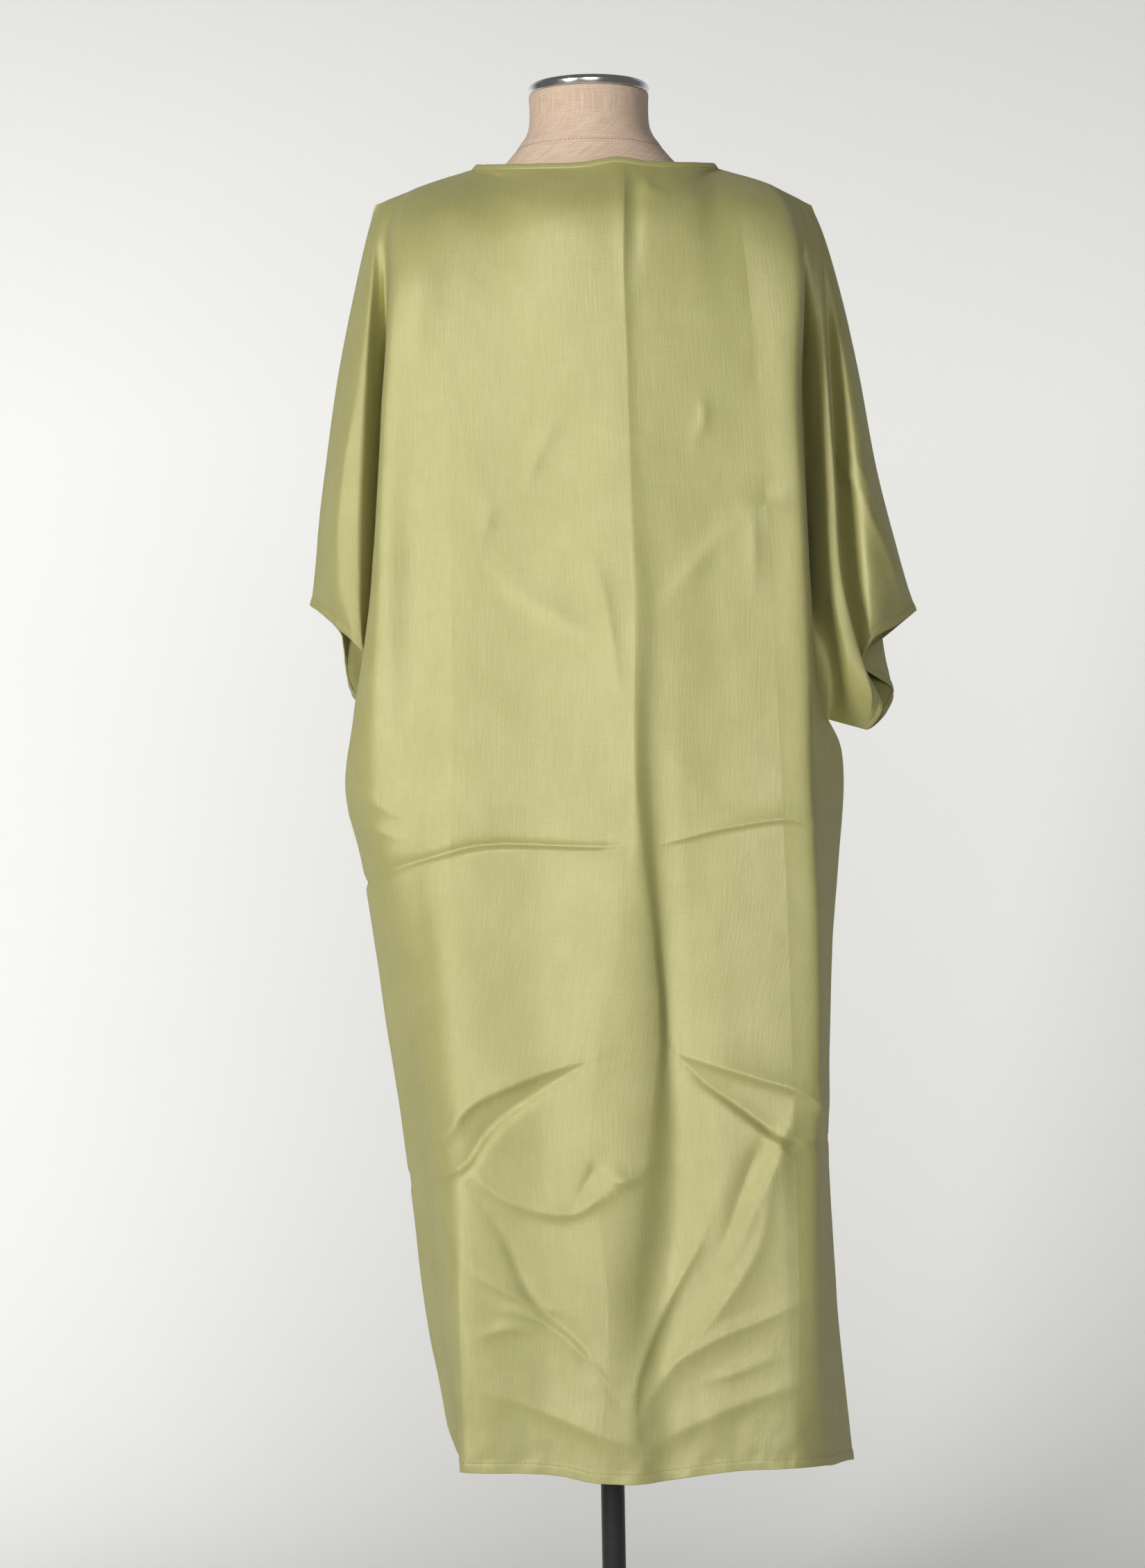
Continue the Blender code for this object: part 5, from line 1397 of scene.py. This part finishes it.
def makeForm():
    settings = formSettings
    angles = np.arange(settings["segments"]) * 2 * math.pi / settings["segments"]
    rings = []
    for height, half, back, front, squareness in formSections:
        side = np.sign(np.cos(angles)) * np.abs(np.cos(angles)) ** (2 / squareness)
        depth = np.sign(np.sin(angles)) * np.abs(np.sin(angles)) ** (2 / squareness)
        reach = np.where(depth < 0, back, front) * depth
        rings.append(np.stack([half * side, reach, np.full(len(angles), height)], axis=1))
    rings = np.stack([2 * rings[0] - rings[1]] + rings + [2 * rings[-1] - rings[-2]])
    heights = [row[0] for row in formSections]
    steps = []
    for lower, upper in zip(heights, heights[1:]):
        rowHeight = settings["collarRow" if lower > settings["collarStart"] else "rowHeight"]
        steps.append(max(2, math.ceil((upper - lower) / rowHeight)))
    skin = splineColumns(rings, steps)
    radial = skin * (1.0, 1.0, 0.0)
    radial /= np.linalg.norm(radial, axis=2, keepdims=True)
    level = skin[:, :, 2]
    aboveSeam = level - settings["seamHeight"]
    sunk = -settings["seamDepth"] * np.exp(-((aboveSeam / settings["seamWidth"]) ** 2))
    roll, rollPlace, rollWidth = settings["seamRoll"]
    sunk += roll * np.exp(-(((aboveSeam - rollPlace) / rollWidth) ** 2))
    gather = np.abs(np.sin(angles * settings["gathers"] / 2 + 0.6 * np.sin(3 * angles)))[None, :]
    gathered = smoothStep((level - settings["gatherStart"]) / settings["gatherFade"])
    sunk += settings["gatherDepth"] * gather * gathered
    skin = skin + radial * sunk[:, :, None]
    rows, around = skin.shape[:2]
    number = np.arange(rows * around).reshape(rows, around)
    after = np.roll(number, -1, axis=1)
    corners = [number[:-1], after[:-1], after[1:], number[1:]]
    faces = [list(face) for face in np.stack(corners, axis=2).reshape(-1, 4)]
    faces += [list(number[0, ::-1]), list(number[-1])]
    girth = np.linalg.norm(skin - np.roll(skin, 1, axis=1), axis=2).cumsum(axis=1)
    flat = np.stack([girth, level], axis=2).reshape(-1, 2)
    piece = meshPiece("dressForm", skin.reshape(-1, 3), faces, flat)
    close = splineColumns(rings, [40] * (len(rings) - 3))
    path = close[int(np.argmin(np.abs(close[:, 0, 2] - settings["seamHeight"])))]
    return piece, np.vstack([path, path[:1]])


def turnedPiece(name, profile, segments=96):
    # a closed solid of revolution; profile is radius and height in cm, from the axis round to the axis
    angles = np.arange(segments) * 2 * math.pi / segments
    points, faces = [(0.0, 0.0, profile[0][1])], []
    for radius, height in profile[1:-1]:
        points += [(radius * math.cos(a), radius * math.sin(a), height) for a in angles]
    points.append((0.0, 0.0, profile[-1][1]))
    last = len(points) - 1
    for step in range(segments):
        after = (step + 1) % segments
        faces.append((0, 1 + step, 1 + after))
        for ring in range(len(profile) - 3):
            here, below = 1 + ring * segments, 1 + (ring + 1) * segments
            faces.append((here + step, below + step, below + after, here + after))
        bottom = 1 + (len(profile) - 3) * segments
        faces.append((last, bottom + after, bottom + step))
    return meshPiece(name, np.array(points), faces)


def roundedProfile(profile, radius, steps=4):
    # corners of a turned profile rounded off
    result = [profile[0]]
    for before, corner, after in zip(profile, profile[1:], profile[2:]):
        corner = np.array(corner)
        toBefore, toAfter = np.array(before) - corner, np.array(after) - corner
        reach = min(radius, np.linalg.norm(toBefore) / 2.2, np.linalg.norm(toAfter) / 2.2)
        start = corner + toBefore / np.linalg.norm(toBefore) * reach
        end = corner + toAfter / np.linalg.norm(toAfter) * reach
        for t in np.linspace(0, 1, steps + 1):
            result.append(tuple((1 - t) ** 2 * start + 2 * t * (1 - t) * corner + t**2 * end))
    return result + [profile[-1]]


# turned profiles, as radius and height in cm; the cap's heights are above the form's top
standSettings = {
    "neckCap": ((0.0, 0.86), (4.7, 0.86), (5.05, 0.98), (5.45, 0.92), (5.66, 0.58), (5.55, 0.1),
                (5.26, 0.03), (0.0, 0.03)),
    "base": ((0.0, 4.4), (1.6, 4.4), (2.2, 3.9), (2.4, 1.6), (2.9, 1.2), (17.5, 1.2), (18.0, 0.8),
             (18.0, 0.15), (17.85, 0.0), (0.0, 0.0)),
    "poleRadius": 1.1,
    "poleFoot": 4.43,
    "gap": 0.03,  # from the pole to the form above it
    "rounding": {"neckCap": 0.1, "pole": 0.05, "base": 0.1},
}


def makeStand():
    settings = standSettings
    formTop, formBottom = formSections[-1][0], formSections[0][0]
    radius, poleTop, poleFoot = settings["poleRadius"], formBottom - settings["gap"], settings["poleFoot"]
    profiles = {
        "neckCap": [(across, formTop + height) for across, height in settings["neckCap"]],
        "pole": [(0.0, poleTop), (radius, poleTop), (radius, poleFoot), (0.0, poleFoot)],
        "base": settings["base"],
    }
    return [
        turnedPiece(name, roundedProfile(profile, settings["rounding"][name]))
        for name, profile in profiles.items()
    ]


# room, lights and camera

roomSettings = {
    "pale": (0.86, 0.86, 0.85, 1.0),
    "seen": (0.82, 0.82, 0.81, 1.0),  # the room as the camera sees it past the sweep
    "dim": (0.125, 0.125, 0.125, 1.0),  # and as it lights the dress
    # the pale floor and the wall that it bends up into, in m
    "sweep": {"front": -6.0, "bend": 0.8, "radius": 1.5, "top": 5.0, "halfWidth": 5.0},
    # place, what it faces, size in m, watts, spread in degrees, colour
    "lights": {
        "key": ((-1.8, -2.65, 1.6), (0.0, 0.0, 1.2), (0.7, 1.1), 36.0, 120.0, (1.0, 0.985, 0.96)),
        "front": ((0.2, -3.5, 1.6), (0.0, 0.0, 1.2), (1.4, 1.4), 17.0, 120.0, (1.0, 1.0, 1.0)),
        "backdropLeft": (
            (-1.5, 0.5, 1.3), (-1.5, 3.0, 1.2), (1.6, 1.8), 22.0, 180.0, (1.0, 1.0, 0.99)),
        "backdropRight": (
            (1.4, 0.5, 1.3), (1.4, 3.0, 1.2), (1.6, 1.8), 12.0, 180.0, (1.0, 1.0, 0.99)),
    },
}
cameraSettings = {
    "place": (-0.026, -3.1, 0.921),
    "roll": 1.0,  # degrees
    "lens": 76.7,  # mm, on a 36 mm long side
}


def makeSweep():
    # a pale floor that sweeps up into a wall behind
    sweep = roomSettings["sweep"]
    bend, radius = sweep["bend"], sweep["radius"]
    profile = [(sweep["front"], 0.0), (bend, 0.0)]
    for angle in np.linspace(0.1, math.pi / 2, 16):
        profile.append((bend + radius * math.sin(angle), radius - radius * math.cos(angle)))
    profile.append((bend + radius, sweep["top"]))
    points, faces = [], []
    for index, (depth, height) in enumerate(profile):
        points += [(side * sweep["halfWidth"], depth, height) for side in (-1.0, 1.0)]
        if index:
            faces.append((2 * index - 2, 2 * index - 1, 2 * index + 1, 2 * index))
    floor = meshPiece("paleSweep", np.array(points) / cm, faces)
    material, tree, shader = newMaterial("paleSweep", {"Roughness": 0.9, "Specular IOR Level": 0.2})
    place = addNode(tree, "ShaderNodeTexCoord")
    mottle = addNode(tree, "ShaderNodeTexNoise", {"Vector": place.outputs["Object"], "Scale": 3.0})
    pale = roomSettings["pale"]
    shade = tuple(0.985 * value for value in pale[:3]) + (1.0,)
    tree.links.new(mixColours(tree, mottle.outputs[0], shade, pale), shader.inputs["Base Color"])
    # seen from behind, the sweep is out of the way
    facing = addNode(tree, "ShaderNodeNewGeometry")
    tree.links.new(mathNode(tree, "SUBTRACT", 1.0, facing.outputs["Backfacing"]), shader.inputs["Alpha"])
    giveMaterial(floor, material)


def makeRoom():
    world = bpy.data.worlds.new("softRoom")
    world.use_nodes = True
    tree = world.node_tree
    rays = addNode(tree, "ShaderNodeLightPath")
    shown = mixColours(tree, rays.outputs["Is Camera Ray"], roomSettings["dim"], roomSettings["seen"])
    tree.links.new(shown, tree.nodes["Background"].inputs[0])
    bpy.context.scene.world = world
    for name, (place, target, size, watts, spread, colour) in roomSettings["lights"].items():
        data = bpy.data.lights.new(name, "AREA")
        data.shape, data.size, data.size_y = "RECTANGLE", *size
        data.spread = math.radians(spread)
        data.energy, data.color = watts, colour
        light = bpy.data.objects.new(name, data)
        light.location = place
        light.visible_camera = False
        light.rotation_euler = (Vector(target) - Vector(place)).to_track_quat("-Z", "Y").to_euler()
        bpy.context.scene.collection.objects.link(light)


def makeCamera():
    data = bpy.data.cameras.new("camera")
    data.sensor_width, data.lens = 36.0, cameraSettings["lens"]
    data.dof.use_dof = False
    camera = bpy.data.objects.new("camera", data)
    camera.location = cameraSettings["place"]
    camera.rotation_euler = (math.radians(90), math.radians(cameraSettings["roll"]), 0.0)
    bpy.context.scene.collection.objects.link(camera)
    bpy.context.scene.camera = camera
    bpy.context.scene.view_settings.view_transform = "Standard"


# the dress and its stand

lines = {panel: foldLines(panel, clothSettings["rows"]) for panel in panelFolds}
backTables = {
    "body": backCreases, "leftSleeve": backLeftSleeveCreases, "rightSleeve": backRightSleeveCreases}
backPanel, backGrid = makePanel("back", lines, backTables)
frontPanel, frontGrid = makePanel("front", lines, {"body": frontCreases})
neckBinding, neckPath = makeBinding(backGrid, frontGrid)
print("cloth shaped")

threadGroup = makeThreadGroup()
satin = makeSatin("sageSatin", threadGroup, satinSettings)
bindingSatin = makeSatin("satinBinding", threadGroup, satinSettings)
linen = makeLinen("naturalLinen", threadGroup, linenSettings)
thread, linenThread, chrome, steel = [
    makeHard(name, *settings) for name, settings in hardSettings.items()]
giveMaterial(backPanel, satin)
giveMaterial(frontPanel, satin)
giveMaterial(neckBinding, bindingSatin)
print("materials made")

dressForm, formPath = makeForm()
giveMaterial(dressForm, linen)
neckCap, pole, base = makeStand()
giveMaterial(neckCap, chrome)
giveMaterial(pole, steel)
giveMaterial(base, steel)


def hemPath(grid, index):
    run, away, width = grid["runs"][index], grid["places"][index], grid["widths"][index]
    distance = width * clothSettings["stitchPlace"]
    line = acrossHem(grid["points"][run], away, distance)
    return line + acrossHem(grid["normals"][run], away, distance) * stitchSettings["proud"]


stitchTree = makeStitchTree()
hemStitches = sewStitches(
    "hemStitches", [hemPath(backGrid, 2), hemPath(frontGrid, 2)], stitchSettings["hem"], stitchTree, thread)
sleeveStitches = sewStitches(
    "sleeveStitches", [hemPath(grid, index) for grid in (backGrid, frontGrid) for index in (0, 1)],
    stitchSettings["sleeve"], stitchTree, thread)
neckStitches = sewStitches("neckStitches", [neckPath], stitchSettings["neck"], stitchTree, thread)
formStitches = sewStitches("formStitches", [formPath], stitchSettings["form"], stitchTree, linenThread)
print("stitches sewn")

makeSweep()
makeRoom()
makeCamera()

replaced = {
    backPanel: ("back_panel", "sage_satin"), frontPanel: ("front_panel", "sage_satin"),
    neckBinding: ("neck_binding", "satin_binding"), dressForm: ("dress_form", "natural_linen"),
    neckCap: ("neck_cap", "chrome"), pole: ("pole", "black_steel"), base: ("base", "black_steel"),
}
for piece, (part, finish) in replaced.items():
    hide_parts(part)
    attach(piece, "root")
for piece in (hemStitches, sleeveStitches, neckStitches, formStitches):
    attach(piece, "root")
